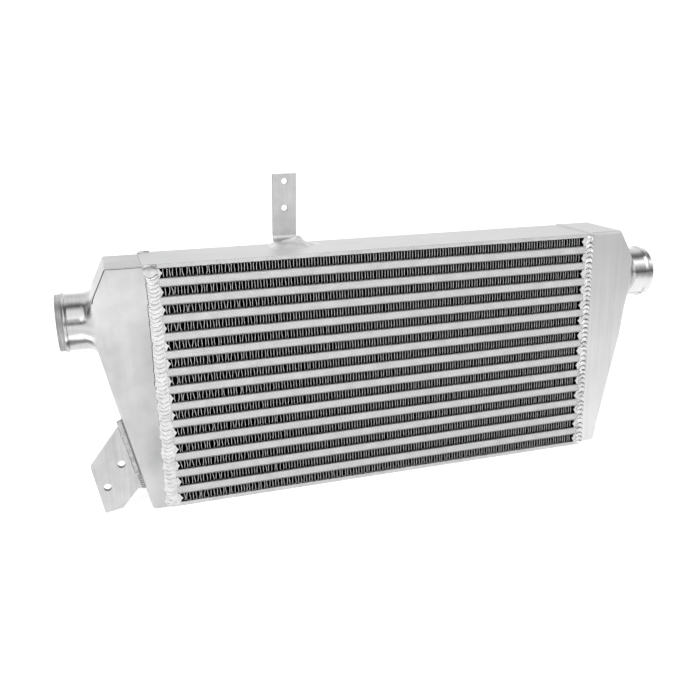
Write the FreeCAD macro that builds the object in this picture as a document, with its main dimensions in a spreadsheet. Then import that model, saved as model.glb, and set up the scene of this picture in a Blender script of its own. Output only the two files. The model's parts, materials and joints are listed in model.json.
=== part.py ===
import FreeCAD, Part
import math
import os
import Sketcher

# Bar-and-plate intercooler: a brazed core, two welded end tanks, two hose spigots and two brackets.
# Millimetres. X runs along the core from the left tank to the right one, Y from front to back, Z up.
# The origin is the centre of the underside of the bottom cover plate, which the core stands on.

V = FreeCAD.Vector

SIZES = {
    # core
    "core_width": 435.0,  # end to end of the bars, where the tanks are welded on
    "core_depth": 70.0,
    "cover_thickness": 3.8,
    "air_rows": 14,
    "air_row_height": 8.7,
    "sheet_thickness": 0.6,
    "charge_bar_height": 6.6,
    "charge_bar_depth": 6.0,
    "end_bar_width": 7.6,  # square part of an end bar, without its nose
    "end_bar_nose": 1.9,
    # fins
    "air_fin_spacing": 7.4,
    "air_fin_sheet": 0.4,
    "air_fin_recess": 0.8,  # how far the folds stand back from the core's faces
    "turbulator_spacing": 13.0,
    "turbulator_sheet": 0.5,
    # end tanks, measured outward from the core's end and up from the tank's underside
    "tank_inset": 1.0,  # from the core's front and back faces
    "tank_shortfall": 1.4,  # how much lower a tank is than the core
    "tank_wall": 3.0,
    "tank_top_length": 37.5,
    "tank_foot_length": 17.5,
    "tank_nose_reach": 57.5,  # where the two slanted walls would meet without the nose bend
    "tank_nose_drop": 40.3,  # from the tank's top down to that place
    "tank_nose_bend": 65.0,
    "tank_corner_bend": 4.5,
    "tank_edge_chamfer": 1.4,
    "neck_reach": 1.5,  # past the nose, where the neck round a spigot's root fades out
    "neck_length": 12.0,
    "neck_rise": 5.0,
    "left_tank_lift": 0.2,
    "right_tank_lift": 2.2,
    # spigots, measured from the tank's nose
    "spigot_drop": 11.0,  # axis below the nose
    "spigot_radius": 25.4,
    "spigot_wall": 2.0,
    "spigot_insertion": 13.5,  # back from the nose to the inner end, just inside the tank
    "left_spigot_length": 24.4,
    "right_spigot_length": 30.0,
    "spigot_hole_clearance": 0.1,
    "bead_setback": 7.0,  # bead centre to the lip
    "bead_half_length": 2.6,
    "bead_rise": 1.7,
    # welds
    "seam_weld_width": 11.0,
    "seam_weld_rise": 2.4,
    "seam_weld_margin": 1.6,  # left free at the top and bottom of each seam
    "bracket_weld_leg": 5.0,
    "bracket_weld_rise": 2.6,
    "bracket_weld_round": 2.2,
    # top bracket, a strip bent to an L
    "top_bracket_x": -83.9,  # middle of the foot
    "top_bracket_setback": 1.0,  # from the core's back face
    "top_bracket_width": 23.0,
    "top_bracket_height": 66.8,
    "top_bracket_foot": 30.0,
    "top_bracket_strip": 3.0,
    "top_bracket_bend": 7.0,  # inside of the bend
    "top_bracket_lean": 2.7,  # how far the upright leans to the right over its height
    "top_hole_radius": 3.2,
    "top_hole_margin": 7.0,
    "top_hole_spacing": 25.5,
    # lower bracket, a flat plate on the left tank's slanted wall: heights are from the tank's underside,
    # and each reach is outward from the wall at that height
    "lower_bracket_setback": 4.0,
    "lower_bracket_plate": 5.0,
    "lower_bracket_weld_top": 92.0,
    "lower_bracket_weld_foot": 20.5,
    "shoulder_reach": 3.5,
    "shoulder_height": 86.0,
    "tip_reach": 40.5,
    "tip_height": 48.8,
    "toe_reach": 42.1,
    "toe_height": 1.9,
    "heel_reach": 25.6,
    "heel_height": 4.9,
    "notch_reach": 6.7,
    "notch_height": 22.0,
    "notch_rise": 1.4,
    "lower_bracket_hole_radius": 4.0,
    "upper_hole_reach": 13.7,
    "upper_hole_height": 47.9,
    "lower_hole_reach": 32.4,
    "lower_hole_height": 27.0,
}

# Places that several pieces share, written from the driving dimensions
charge_height = "(Sizes.charge_bar_height + 2 * Sizes.sheet_thickness)"
pitch = f"(Sizes.air_row_height + {charge_height})"
core_height = f"(2 * Sizes.cover_thickness + Sizes.air_row_height + (Sizes.air_rows - 1) * {pitch})"
first_charge = "(Sizes.cover_thickness + Sizes.air_row_height)"
tank_height = f"({core_height} - Sizes.tank_shortfall)"
tank_depth = "(Sizes.core_depth - 2 * Sizes.tank_inset)"
nose_height = f"({tank_height} - Sizes.tank_nose_drop)"
wall_slope = f"((Sizes.tank_nose_reach - Sizes.tank_foot_length) / {nose_height})"
spigot_height = f"({nose_height} - Sizes.spigot_drop)"
hole_radius = "(Sizes.spigot_radius + Sizes.spigot_hole_clearance)"

doc = FreeCAD.newDocument("Intercooler")
sheet = doc.addObject("Spreadsheet::Sheet", "Sizes")
for row, (alias, size) in enumerate(SIZES.items(), start=1):
    sheet.set(f"A{row}", alias)
    sheet.set(f"B{row}", str(size))
    sheet.setAlias(f"B{row}", alias)
doc.recompute()

sub_parts = []


def value(expression):
    """The number that an expression on the sheet gives."""
    result = sheet.evalExpression(expression)
    return float(getattr(result, "Value", result))


def bind(target, **expressions):
    """Bind properties to the sheet; a double underscore stands for the dot of a nested property."""
    for name, expression in expressions.items():
        target.setExpression(name.replace("__", "."), expression)


def place(target, x="0", y="0", z="0"):
    bind(target, Placement__Base__x=x, Placement__Base__y=y, Placement__Base__z=z)


def new_body(label):
    body = doc.addObject("PartDesign::Body", label)
    body.Label = label
    sub_parts.append(body)
    return body


def plane_of(body, role):
    return next(item for item in body.Origin.OriginFeatures if item.Role == role)


def new_sketch(body, name, role, offset="0"):
    sketch = body.newObject("Sketcher::SketchObject", name)
    sketch.AttachmentSupport = [(plane_of(body, role), "")]
    sketch.MapMode = "FlatFace"
    bind(sketch, AttachmentOffset__Base__z=offset)
    return sketch


def outline(sketch, corners, arcs=None):
    """A closed outline through corners given as pairs of expressions.

    arcs maps the number of a side to (half of its chord, rise of its middle to the right of the chord)."""
    arcs = arcs or {}
    points = [V(value(x), value(z), 0) for x, z in corners]
    sides = []
    for number, start in enumerate(points):
        end = points[(number + 1) % len(points)]
        if number in arcs:
            along = (end - start).normalize()
            middle = (start + end) * 0.5 + V(along.y, -along.x, 0) * value(arcs[number][1])
            side = sketch.addGeometry(Part.Arc(start, middle, end))
            forward = sketch.getPoint(side, 1).isEqual(start, 1e-6)
        else:
            side = sketch.addGeometry(Part.LineSegment(start, end))
            forward = True
        sides.append((side, 1 if forward else 2, 2 if forward else 1))
    for number, (side, first, last) in enumerate(sides):
        next_side, next_first, _ = sides[(number + 1) % len(sides)]
        sketch.addConstraint(Sketcher.Constraint("Coincident", side, last, next_side, next_first))
        for kind, expression in zip(("DistanceX", "DistanceY"), corners[number]):
            index = sketch.addConstraint(
                Sketcher.Constraint(kind, -1, 1, side, first, value(expression)))
            sketch.setExpression(f"Constraints[{index}]", expression)
        if number in arcs:
            half, rise = arcs[number]
            radius = f"(({half}) ^ 2 + ({rise}) ^ 2) / (2 * abs({rise}))"
            index = sketch.addConstraint(Sketcher.Constraint("Radius", side, value(radius)))
            sketch.setExpression(f"Constraints[{index}]", radius)


def circle(sketch, x, z, radius):
    ring = sketch.addGeometry(Part.Circle(V(value(x), value(z), 0), V(0, 0, 1), value(radius)))
    for kind, expression in (("DistanceX", x), ("DistanceY", z)):
        index = sketch.addConstraint(Sketcher.Constraint(kind, -1, 1, ring, 3, value(expression)))
        sketch.setExpression(f"Constraints[{index}]", expression)
    index = sketch.addConstraint(Sketcher.Constraint("Radius", ring, value(radius)))
    sketch.setExpression(f"Constraints[{index}]", radius)


def pad(body, sketch, length, side="Symmetric"):
    feature = body.newObject("PartDesign::Pad", "Pad")
    feature.Profile = sketch
    feature.SideType = side
    bind(feature, Length=length)
    doc.recompute()
    return feature


def cut_through(body, sketch):
    feature = body.newObject("PartDesign::Pocket", "Pocket")
    feature.Profile = sketch
    feature.SideType = "Symmetric"
    feature.Type = "ThroughAll"
    before = body.Shape.Volume
    doc.recompute()
    if body.Shape.Volume >= before:
        raise RuntimeError(f"{sketch.Label} cut nothing from {body.Label}")
    return feature


def edges_where(feature, test):
    return [f"Edge{n}" for n, edge in enumerate(feature.Shape.Edges, start=1) if test(edge)]


def round_edges(body, feature, test, radius):
    fillet = body.newObject("PartDesign::Fillet", "Fillet")
    fillet.Base = (feature, edges_where(feature, test))
    bind(fillet, Radius=radius)
    doc.recompute()
    return fillet


def chamfer_edges(body, feature, test, size):
    chamfer = body.newObject("PartDesign::Chamfer", "Chamfer")
    chamfer.Base = (feature, edges_where(feature, test))
    bind(chamfer, Size=size)
    doc.recompute()
    return chamfer


def along_depth(x, z):
    """Picks the edge that runs along Y through a place of the outline."""
    def test(edge):
        ends = [vertex.Point for vertex in edge.Vertexes]
        near = all(math.hypot(p.x - value(x), p.z - value(z)) < 1e-3 for p in ends)
        return len(ends) == 2 and near
    return test


def stack(body, feature, count, step):
    """Repeats a feature upwards at an even step."""
    pattern = body.newObject("PartDesign::LinearPattern", "Stack")
    pattern.Originals = [feature]
    pattern.Direction = (plane_of(body, "Z_Axis"), [""])
    pattern.Mode = "Spacing"
    bind(pattern, Offset=step, Occurrences=count)
    body.Tip = pattern
    doc.recompute()
    return pattern


def rectangle(sketch, left, bottom, right, top):
    outline(sketch, [(left, bottom), (right, bottom), (right, top), (left, top)])


# Cover plates
def cover_plate(label, underside):
    plate = doc.addObject("Part::Box", label)
    plate.Label = label
    bind(plate, Length="Sizes.core_width", Width="Sizes.core_depth", Height="Sizes.cover_thickness")
    place(plate, "-Sizes.core_width / 2", "-Sizes.core_depth / 2", underside)
    sub_parts.append(plate)


cover_plate("bottom_cover_plate", "0")
cover_plate("top_cover_plate", f"{core_height} - Sizes.cover_thickness")


# Face bars, which close the charge passages along the front and the back
for number in range(int(value("Sizes.air_rows")) - 1):
    bar = doc.addObject("Part::Box", f"face_bar_front_{number + 1:02d}")
    bar.Label = f"face_bar_front_{number + 1:02d}"
    bind(bar, Length="Sizes.core_width", Width="Sizes.charge_bar_depth", Height="Sizes.charge_bar_height")
    place(bar, "-Sizes.core_width / 2", "-Sizes.core_depth / 2",
          f"{first_charge} + Sizes.sheet_thickness + {number} * {pitch}")
    sub_parts.append(bar)

back_bars = new_body("face_bars_back")
profile = new_sketch(back_bars, "BackBarProfile", "XZ_Plane",
                     "-(Sizes.core_depth - Sizes.charge_bar_depth) / 2")
rectangle(profile, "-Sizes.core_width / 2", f"{first_charge} + Sizes.sheet_thickness",
          "Sizes.core_width / 2", f"{first_charge} + Sizes.sheet_thickness + Sizes.charge_bar_height")
stack(back_bars, pad(back_bars, profile, "Sizes.charge_bar_depth"), "Sizes.air_rows - 1", pitch)


# Parting sheets, one below and one above every charge passage
sheets = new_body("parting_sheets")
profile = new_sketch(sheets, "SheetProfile", "XZ_Plane")
rectangle(profile, "-Sizes.core_width / 2", first_charge,
          "Sizes.core_width / 2", f"{first_charge} + Sizes.sheet_thickness")
lower_sheet = pad(sheets, profile, "Sizes.core_depth")
profile = new_sketch(sheets, "UpperSheetProfile", "XZ_Plane")
rectangle(profile, "-Sizes.core_width / 2", f"{first_charge} + {charge_height} - Sizes.sheet_thickness",
          "Sizes.core_width / 2", f"{first_charge} + {charge_height}")
upper_sheet = pad(sheets, profile, "Sizes.core_depth")
stacked = stack(sheets, lower_sheet, "Sizes.air_rows - 1", pitch)
stacked.Originals = [lower_sheet, upper_sheet]
doc.recompute()


# End bars, whose noses point into the air passages
def end_bars(label, side):
    body = new_body(label)
    profile = new_sketch(body, label + "_profile", "XZ_Plane")
    outer = f"{side} * Sizes.core_width / 2"
    root = f"{side} * (Sizes.core_width / 2 - Sizes.end_bar_width)"
    tip = f"{side} * (Sizes.core_width / 2 - Sizes.end_bar_width - Sizes.end_bar_nose)"
    bottom = "Sizes.cover_thickness"
    top = "(Sizes.cover_thickness + Sizes.air_row_height)"
    outline(profile, [(outer, bottom), (root, bottom), (tip, f"({bottom} + {top}) / 2"),
                      (root, top), (outer, top)])
    stack(body, pad(body, profile, "Sizes.core_depth"), "Sizes.air_rows", pitch)


end_bars("end_bars_left", -1)
end_bars("end_bars_right", 1)


# Corrugated fins, folded from thin sheet
def folded_sheet(width, height, depth, spacing, thickness):
    """A zigzag sheet from X = -width/2 to width/2 and Z = 0 to height, drawn out to depth along Y."""
    legs = 2 * max(1, round(width / spacing / 2))
    step = width / legs
    slant = thickness * math.hypot(step, height - thickness) / step
    rise = height - slant
    lower = [V(-width / 2 + n * step, -depth / 2, rise if n % 2 else 0) for n in range(legs + 1)]
    upper = [point + V(0, 0, slant) for point in reversed(lower)]
    return Part.Face(Part.makePolygon(lower + upper + lower[:1])).extrude(V(0, depth, 0))


air_width = value("Sizes.core_width - 2 * (Sizes.end_bar_width + Sizes.end_bar_nose)")
air_fold = folded_sheet(air_width, value("Sizes.air_row_height"),
                        value("Sizes.core_depth - 2 * Sizes.air_fin_recess"),
                        value("Sizes.air_fin_spacing"), value("Sizes.air_fin_sheet"))
for number in range(int(value("Sizes.air_rows"))):
    fin = doc.addObject("Part::Feature", f"air_fin_{number + 1:02d}")
    fin.Label = f"air_fin_{number + 1:02d}"
    fin.Shape = air_fold
    place(fin, z=f"Sizes.cover_thickness + {number} * {pitch}")
    sub_parts.append(fin)

charge_fold = folded_sheet(value("Sizes.core_depth - 2 * Sizes.charge_bar_depth"),
                           value("Sizes.charge_bar_height"), value("Sizes.core_width"),
                           value("Sizes.turbulator_spacing"), value("Sizes.turbulator_sheet"))
charge_fold.rotate(V(0, 0, 0), V(0, 0, 1), 90)
folds = []
for number in range(int(value("Sizes.air_rows")) - 1):
    fold = charge_fold.copy()
    fold.translate(V(0, 0, value(f"{first_charge} + Sizes.sheet_thickness + {number} * {pitch}")))
    folds.append(fold)
turbulators = doc.addObject("Part::Feature", "turbulators")
turbulators.Label = "turbulators"
turbulators.Shape = Part.makeCompound(folds)
sub_parts.append(turbulators)


# End tanks. Each is drawn with X outward from the core's end, and the left one is turned half round.
tank_outline = [("0", "0"), ("Sizes.tank_foot_length", "0"), ("Sizes.tank_nose_reach", nose_height),
                ("Sizes.tank_top_length", tank_height), ("0", tank_height)]


def seat_on_core(piece, side):
    turn = 0 if side == "right" else 180
    piece.Placement = FreeCAD.Placement(V(0, 0, 0), FreeCAD.Rotation(V(0, 0, 1), turn))
    sign = "" if side == "right" else "-"
    place(piece, f"{sign}Sizes.core_width / 2", "0", f"Sizes.{side}_tank_lift")


def outward_sign(side, face):
    """Local Y points to the back on the right tank and to the front on the turned left one."""
    return 1 if (side == "right") == (face == "back") else -1


def tank_slab(body, length, offset="0"):
    """The tank's outline drawn out along its depth, with its bends rounded."""
    profile = new_sketch(body, body.Label + "_outline", "XZ_Plane", offset)
    outline(profile, tank_outline)
    slab = pad(body, profile, length)
    slab = round_edges(body, slab, along_depth("Sizes.tank_nose_reach", nose_height),
                       "Sizes.tank_nose_bend")
    return round_edges(body, slab, along_depth("Sizes.tank_foot_length", "0"), "Sizes.tank_corner_bend")


def tank_plate(side, face):
    body = new_body(f"{side}_tank_{face}_plate")
    toward = outward_sign(side, face)
    slab = tank_slab(body, "Sizes.tank_wall", f"{-toward} * ({tank_depth} - Sizes.tank_wall) / 2")
    outer = toward * value(tank_depth) / 2

    def on_outer_rim(edge):
        flat = all(abs(vertex.Point.y - outer) < 1e-3 for vertex in edge.Vertexes)
        mouth = all(abs(vertex.Point.x) < 1e-3 for vertex in edge.Vertexes)
        return flat and not mouth

    chamfer_edges(body, slab, on_outer_rim, "Sizes.tank_edge_chamfer")
    seat_on_core(body, side)


def bent_strip(side):
    """The strip bent round the tank's rim, with a hole through its nose for the spigot."""
    body = doc.addObject("PartDesign::Body", f"{side}_bent_strip")
    slab = tank_slab(body, f"{tank_depth} - 2 * Sizes.tank_wall")
    open_faces = []
    for number, face in enumerate(slab.Shape.Faces, start=1):
        normal = face.normalAt(*face.Surface.parameter(face.CenterOfMass))
        if abs(abs(normal.y) - 1) < 1e-6 or normal.x < -1 + 1e-6:
            open_faces.append(f"Face{number}")
    shell = body.newObject("PartDesign::Thickness", "Shell")
    shell.Base = (slab, open_faces)
    shell.Reversed = True
    shell.Join = "Intersection"
    bind(shell, Value="Sizes.tank_wall")
    doc.recompute()
    hole = new_sketch(body, body.Label + "_hole", "YZ_Plane")
    circle(hole, "0", spigot_height, hole_radius)
    cut_through(body, hole)
    seat_on_core(body, side)
    return body


def seat_on_spigot_axis(piece, side):
    seat_on_core(piece, side)
    bind(piece, Placement__Base__z=f"Sizes.{side}_tank_lift + {spigot_height}")


def turned(body, profile):
    """Turns a profile about the X axis."""
    feature = body.newObject("PartDesign::Revolution", "Revolution")
    feature.Profile = profile
    feature.ReferenceAxis = (plane_of(body, "X_Axis"), [""])
    doc.recompute()
    return feature


def neck(side):
    """The flare that blends the tank's nose into the spigot, ending on the outside of the nose."""
    flare = doc.addObject("PartDesign::Body", f"{side}_flare")
    profile = new_sketch(flare, flare.Label + "_section", "XZ_Plane")
    end = "Sizes.tank_nose_reach + Sizes.neck_reach"
    start = f"{end} - Sizes.neck_length"
    outline(profile, [(start, hole_radius), (end, hole_radius), (start, f"{hole_radius} + Sizes.neck_rise")])
    turned(flare, profile)
    seat_on_spigot_axis(flare, side)
    form = doc.addObject("PartDesign::Body", f"{side}_tank_form")
    tank_slab(form, f"{tank_depth} + 4 * Sizes.neck_rise")
    seat_on_core(form, side)
    ring = doc.addObject("Part::Cut", f"{side}_neck")
    ring.Base = flare
    ring.Tool = form
    return ring


def tank_wrap(side):
    wrap = doc.addObject("Part::Fuse", f"{side}_tank_wrap")
    wrap.Label = f"{side}_tank_wrap"
    wrap.Base = bent_strip(side)
    wrap.Tool = neck(side)
    doc.recompute()
    sub_parts.append(wrap)


# Hose spigots, thin tubes with a rolled bead near the lip
def spigot(side):
    body = new_body(f"{side}_spigot")
    profile = new_sketch(body, body.Label + "_section", "XZ_Plane")
    root = "Sizes.tank_nose_reach - Sizes.spigot_insertion"
    end = f"Sizes.tank_nose_reach + Sizes.{side}_spigot_length"
    bead = f"{end} - Sizes.bead_setback"
    inner = "Sizes.spigot_radius - Sizes.spigot_wall"
    outer = "Sizes.spigot_radius"
    crest = "Sizes.spigot_radius + Sizes.bead_rise"
    outline(profile,
            [(root, inner), (end, inner), (end, outer), (f"{bead} + Sizes.bead_half_length", outer),
             (bead, crest), (f"{bead} - Sizes.bead_half_length", outer), (root, outer)])
    turned(body, profile)
    seat_on_spigot_axis(body, side)


# Weld beads where each tank's plates meet the faces of the core
def seam_weld(side, face):
    body = new_body(f"{side}_{face}_weld")
    toward = outward_sign(side, face)
    profile = new_sketch(body, body.Label + "_section", "XY_Plane", "Sizes.seam_weld_margin")
    core_face = f"{toward} * Sizes.core_depth / 2"
    tank_face = f"{toward} * {tank_depth} / 2"
    outline(profile,
            [("-Sizes.seam_weld_width / 2", core_face), ("0", core_face), ("0", tank_face),
             ("Sizes.seam_weld_width / 2", tank_face)],
            arcs={3: ("sqrt(Sizes.seam_weld_width ^ 2 + Sizes.tank_inset ^ 2) / 2",
                      f"{toward} * Sizes.seam_weld_rise")})
    pad(body, profile, f"{core_height} - 2 * Sizes.seam_weld_margin", "One side")
    seat_on_core(body, side)
    bind(body, Placement__Base__z="0")


for tank_side in ("left", "right"):
    tank_plate(tank_side, "front")
    tank_plate(tank_side, "back")
    tank_wrap(tank_side)
    spigot(tank_side)
    seam_weld(tank_side, "front")
    seam_weld(tank_side, "back")


# Top bracket, a strip bent to an L, whose foot points forward from the cover's back edge
bend_top = "(Sizes.top_bracket_strip + Sizes.top_bracket_bend)"
quarter_rise = "(1 - 1 / sqrt(2))"


def seat_on_cover(piece):
    place(piece, "Sizes.top_bracket_x", "Sizes.core_depth / 2 - Sizes.top_bracket_setback", core_height)


def top_bracket():
    body = new_body("top_bracket")
    section = new_sketch(body, "TopBracketSection", "YZ_Plane")
    strip = "Sizes.top_bracket_strip"
    foot = "-Sizes.top_bracket_foot"
    height = "Sizes.top_bracket_height"
    outline(section,
            [("0", height), (f"-{strip}", height), (f"-{strip}", bend_top), (f"-{bend_top}", strip),
             (foot, strip), (foot, "0"), (f"-{bend_top}", "0"), ("0", bend_top)],
            arcs={2: ("Sizes.top_bracket_bend * sqrt(2) / 2",
                      f"-Sizes.top_bracket_bend * {quarter_rise}"),
                  6: (f"{bend_top} * sqrt(2) / 2", f"{bend_top} * {quarter_rise}")})
    pad(body, section, "Sizes.top_bracket_width + 4 * Sizes.top_bracket_lean")
    trim = new_sketch(body, "TopBracketSides", "XZ_Plane")
    half = "Sizes.top_bracket_width / 2"
    lean = "Sizes.top_bracket_lean"
    edge = f"({half} + 3 * {lean})"
    outline(trim, [(f"-{half}", "0"), (half, "0"), (half, bend_top), (f"{half} + {lean}", height),
                   (f"-{half} + {lean}", height), (f"-{half}", bend_top)])
    rectangle(trim, f"-{edge}", f"-{strip}", edge, f"{height} + {strip}")
    cut_through(body, trim)
    holes = new_sketch(body, "TopBracketHoles", "XZ_Plane")
    for drop in ("Sizes.top_hole_margin", "(Sizes.top_hole_margin + Sizes.top_hole_spacing)"):
        hole_z = f"({height} - {drop})"
        hole_x = f"{lean} * ({hole_z} - {bend_top}) / ({height} - {bend_top})"
        circle(holes, hole_x, hole_z, "Sizes.top_hole_radius")
    cut_through(body, holes)
    seat_on_cover(body)


def top_bracket_weld():
    """A sloping bead round the front and sides of the foot."""
    body = new_body("top_bracket_weld")
    base = new_sketch(body, "TopWeldBase", "XY_Plane")
    half = "(Sizes.top_bracket_width / 2 + Sizes.bracket_weld_leg)"
    rectangle(base, f"-{half}", "-(Sizes.top_bracket_foot + Sizes.bracket_weld_leg)", half,
              "-Sizes.top_bracket_bend")
    bead = pad(body, base, "Sizes.top_bracket_strip", "One side")
    crest = value("Sizes.top_bracket_strip")

    def on_crest(edge):
        return all(abs(vertex.Point.z - crest) < 1e-3 for vertex in edge.Vertexes)

    chamfer_edges(body, bead, on_crest, "Sizes.bracket_weld_rise")
    foot = new_sketch(body, "TopWeldFoot", "XY_Plane")
    rectangle(foot, "-Sizes.top_bracket_width / 2", "-Sizes.top_bracket_foot",
              "Sizes.top_bracket_width / 2", "0")
    cut_through(body, foot)
    seat_on_cover(body)


top_bracket()
top_bracket_weld()


# Lower bracket, a flat plate welded to the left tank's lower slanted wall
def wall_at(height):
    return f"(Sizes.tank_foot_length + {wall_slope} * {height})"


def out_from_wall(name):
    """The place that a pair of sizes, a reach and a height, gives beside the slanted wall."""
    height = f"Sizes.{name}_height"
    return (f"{wall_at(height)} + Sizes.{name}_reach", height)


def lower_bracket():
    body = new_body("lower_bracket")
    plate_middle = f"({tank_depth} / 2 - Sizes.lower_bracket_setback - Sizes.lower_bracket_plate / 2)"
    profile = new_sketch(body, "LowerBracketOutline", "XZ_Plane", f"-{plate_middle}")
    top = "Sizes.lower_bracket_weld_top"
    foot = "Sizes.lower_bracket_weld_foot"
    notch_x, notch_z = out_from_wall("notch")
    chord = f"sqrt(({notch_x} - {wall_at(foot)}) ^ 2 + ({notch_z} - {foot}) ^ 2)"
    corners = [out_from_wall(name) for name in ("shoulder", "tip", "toe", "heel", "notch")]
    outline(profile, [(wall_at(top), top)] + corners + [(wall_at(foot), foot)],
            arcs={5: (f"{chord} / 2", "Sizes.notch_rise")})
    pad(body, profile, "Sizes.lower_bracket_plate")
    holes = new_sketch(body, "LowerBracketHoles", "XZ_Plane")
    for name in ("upper_hole", "lower_hole"):
        circle(holes, *out_from_wall(name), "Sizes.lower_bracket_hole_radius")
    cut_through(body, holes)
    seat_on_core(body, "left")


def lower_bracket_weld():
    """A bead in the corner between the plate's face and the tank's wall."""
    body = new_body("lower_bracket_weld")
    plate_face = f"({tank_depth} / 2 - Sizes.lower_bracket_setback)"
    profile = new_sketch(body, "LowerWeldOutline", "XZ_Plane", f"-{plate_face}")
    bottom = "(Sizes.lower_bracket_weld_foot + Sizes.notch_rise)"
    top = "(Sizes.lower_bracket_weld_top - Sizes.bracket_weld_leg)"
    leg = "Sizes.bracket_weld_leg"
    outline(profile, [(wall_at(bottom), bottom), (f"{wall_at(bottom)} + {leg}", bottom),
                      (f"{wall_at(top)} + {leg}", top), (wall_at(top), top)])
    bead = pad(body, profile, "Sizes.bracket_weld_rise", "One side")
    bead.Reversed = True
    doc.recompute()
    outer = value(f"{plate_face} + Sizes.bracket_weld_rise")
    outer_side = value(f"{wall_at(bottom)} + {leg}")

    def on_crest(edge):
        ends = [vertex.Point for vertex in edge.Vertexes]
        return all(abs(p.y - outer) < 1e-3 and p.x > outer_side - 1e-3 for p in ends)

    round_edges(body, bead, on_crest, "Sizes.bracket_weld_round")
    seat_on_core(body, "left")


lower_bracket()
lower_bracket_weld()

doc.recompute()
for item in doc.Objects:
    if "Invalid" in item.State or "Error" in item.State:
        raise RuntimeError(f"{item.Label} failed: {item.getStatusString()}")
for item in sub_parts:
    if item.Shape.isNull() or not item.Shape.isValid() or not item.Shape.Solids:
        raise RuntimeError(f"{item.Label} has no valid solid")

os.makedirs("parts", exist_ok=True)
for item in sub_parts:
    item.Shape.exportStep(f"parts/{item.Label}.step")
print(f"{len(sub_parts)} sub-parts written")
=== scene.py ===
import json
import math
import random

import bmesh
import bpy
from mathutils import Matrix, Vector, noise

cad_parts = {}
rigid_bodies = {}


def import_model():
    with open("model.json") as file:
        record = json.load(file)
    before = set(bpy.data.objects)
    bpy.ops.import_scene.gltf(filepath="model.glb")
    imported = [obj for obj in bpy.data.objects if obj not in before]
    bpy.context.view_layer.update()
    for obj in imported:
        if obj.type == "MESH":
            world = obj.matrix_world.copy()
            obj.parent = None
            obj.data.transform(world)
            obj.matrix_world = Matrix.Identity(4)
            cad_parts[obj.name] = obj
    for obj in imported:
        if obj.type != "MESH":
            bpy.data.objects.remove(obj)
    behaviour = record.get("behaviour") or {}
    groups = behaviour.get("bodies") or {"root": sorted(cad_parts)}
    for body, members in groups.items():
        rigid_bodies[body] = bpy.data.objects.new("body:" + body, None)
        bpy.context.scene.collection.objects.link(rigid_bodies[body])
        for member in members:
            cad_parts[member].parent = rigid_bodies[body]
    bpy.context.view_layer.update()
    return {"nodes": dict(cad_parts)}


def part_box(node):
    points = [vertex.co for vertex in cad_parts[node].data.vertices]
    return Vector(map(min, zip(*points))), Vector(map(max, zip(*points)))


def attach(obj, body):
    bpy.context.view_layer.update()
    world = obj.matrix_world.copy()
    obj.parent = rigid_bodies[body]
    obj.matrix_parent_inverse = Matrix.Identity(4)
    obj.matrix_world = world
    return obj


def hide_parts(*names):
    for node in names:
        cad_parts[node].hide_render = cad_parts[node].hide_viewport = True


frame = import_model()
scene = bpy.context.scene
scene.view_settings.view_transform = "Standard"
mm = 0.001
outward = dict(left=-1, right=1)  # which way along X each end of the core faces
print("frame loaded with", len(frame["nodes"]), "nodes")


# Small shader helpers
def addNode(tree, kind, links=None, **settings):
    # each socket in links takes a fixed value, or the output that feeds it
    node = tree.nodes.new(kind)
    for key, setting in settings.items():
        setattr(node, key, setting)
    for socket, source in (links or {}).items():
        if isinstance(source, bpy.types.NodeSocket):
            tree.links.new(source, node.inputs[socket])
        else:
            node.inputs[socket].default_value = source
    return node


def mathNode(tree, operation, first, second=0.0):
    return addNode(tree, "ShaderNodeMath", {0: first, 1: second}, operation=operation).outputs[0]


def timesNode(tree, first, second):
    return addNode(tree, "ShaderNodeVectorMath", {0: first, 1: second}, operation="MULTIPLY").outputs[0]


def spread(tree, value, low, high, newLow=0.0, newHigh=1.0):
    node = addNode(tree, "ShaderNodeMapRange", {"Value": value, "From Min": low, "From Max": high,
                                                "To Min": newLow, "To Max": newHigh})
    return node.outputs["Result"]


def groupNode(tree, group, links):
    return addNode(tree, "ShaderNodeGroup", links, node_tree=group).outputs


def framePlace(tree):
    # where a point of the skin is, in the frame's own metres
    return addNode(tree, "ShaderNodeTexCoord").outputs["Object"]


def splitPlace(tree, place):
    return addNode(tree, "ShaderNodeSeparateXYZ", {0: place}).outputs


def noiseNode(tree, place, scale, detail, **more):
    links = {"Vector": place, "Scale": scale, "Detail": detail}
    links.update((key.title(), source) for key, source in more.items())
    return addNode(tree, "ShaderNodeTexNoise", links).outputs["Fac"]


def grey(level):
    return (level, level, level * 1.004, 1.0)


def mixColours(tree, share, low, high):
    return addNode(tree, "ShaderNodeMix", {0: share, 6: low, 7: high}, data_type="RGBA").outputs[2]


def rampOf(tree, share, stops, low, high, full=1.0):
    # a grey ramp with its stops given as (place, level) between low and high
    ramp = addNode(tree, "ShaderNodeValToRGB", {0: share})
    while len(ramp.color_ramp.elements) < len(stops):
        ramp.color_ramp.elements.new(0.5)
    for element, (place, level) in zip(ramp.color_ramp.elements, stops):
        element.position = (place - low) / (high - low)
        element.color = grey(level / full)
    return ramp.outputs["Color"]


# Shader groups that several finishes share
def newGroup(name, inputs, outputs):
    group = bpy.data.node_groups.new(name, "ShaderNodeTree")
    for label, kind, start in inputs:
        socket = group.interface.new_socket(name=label, in_out="INPUT", socket_type=kind)
        socket.default_value = start
    for label in outputs:
        group.interface.new_socket(name=label, in_out="OUTPUT", socket_type="NodeSocketFloat")
    return group, group.nodes.new("NodeGroupInput").outputs, group.nodes.new("NodeGroupOutput").inputs


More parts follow.
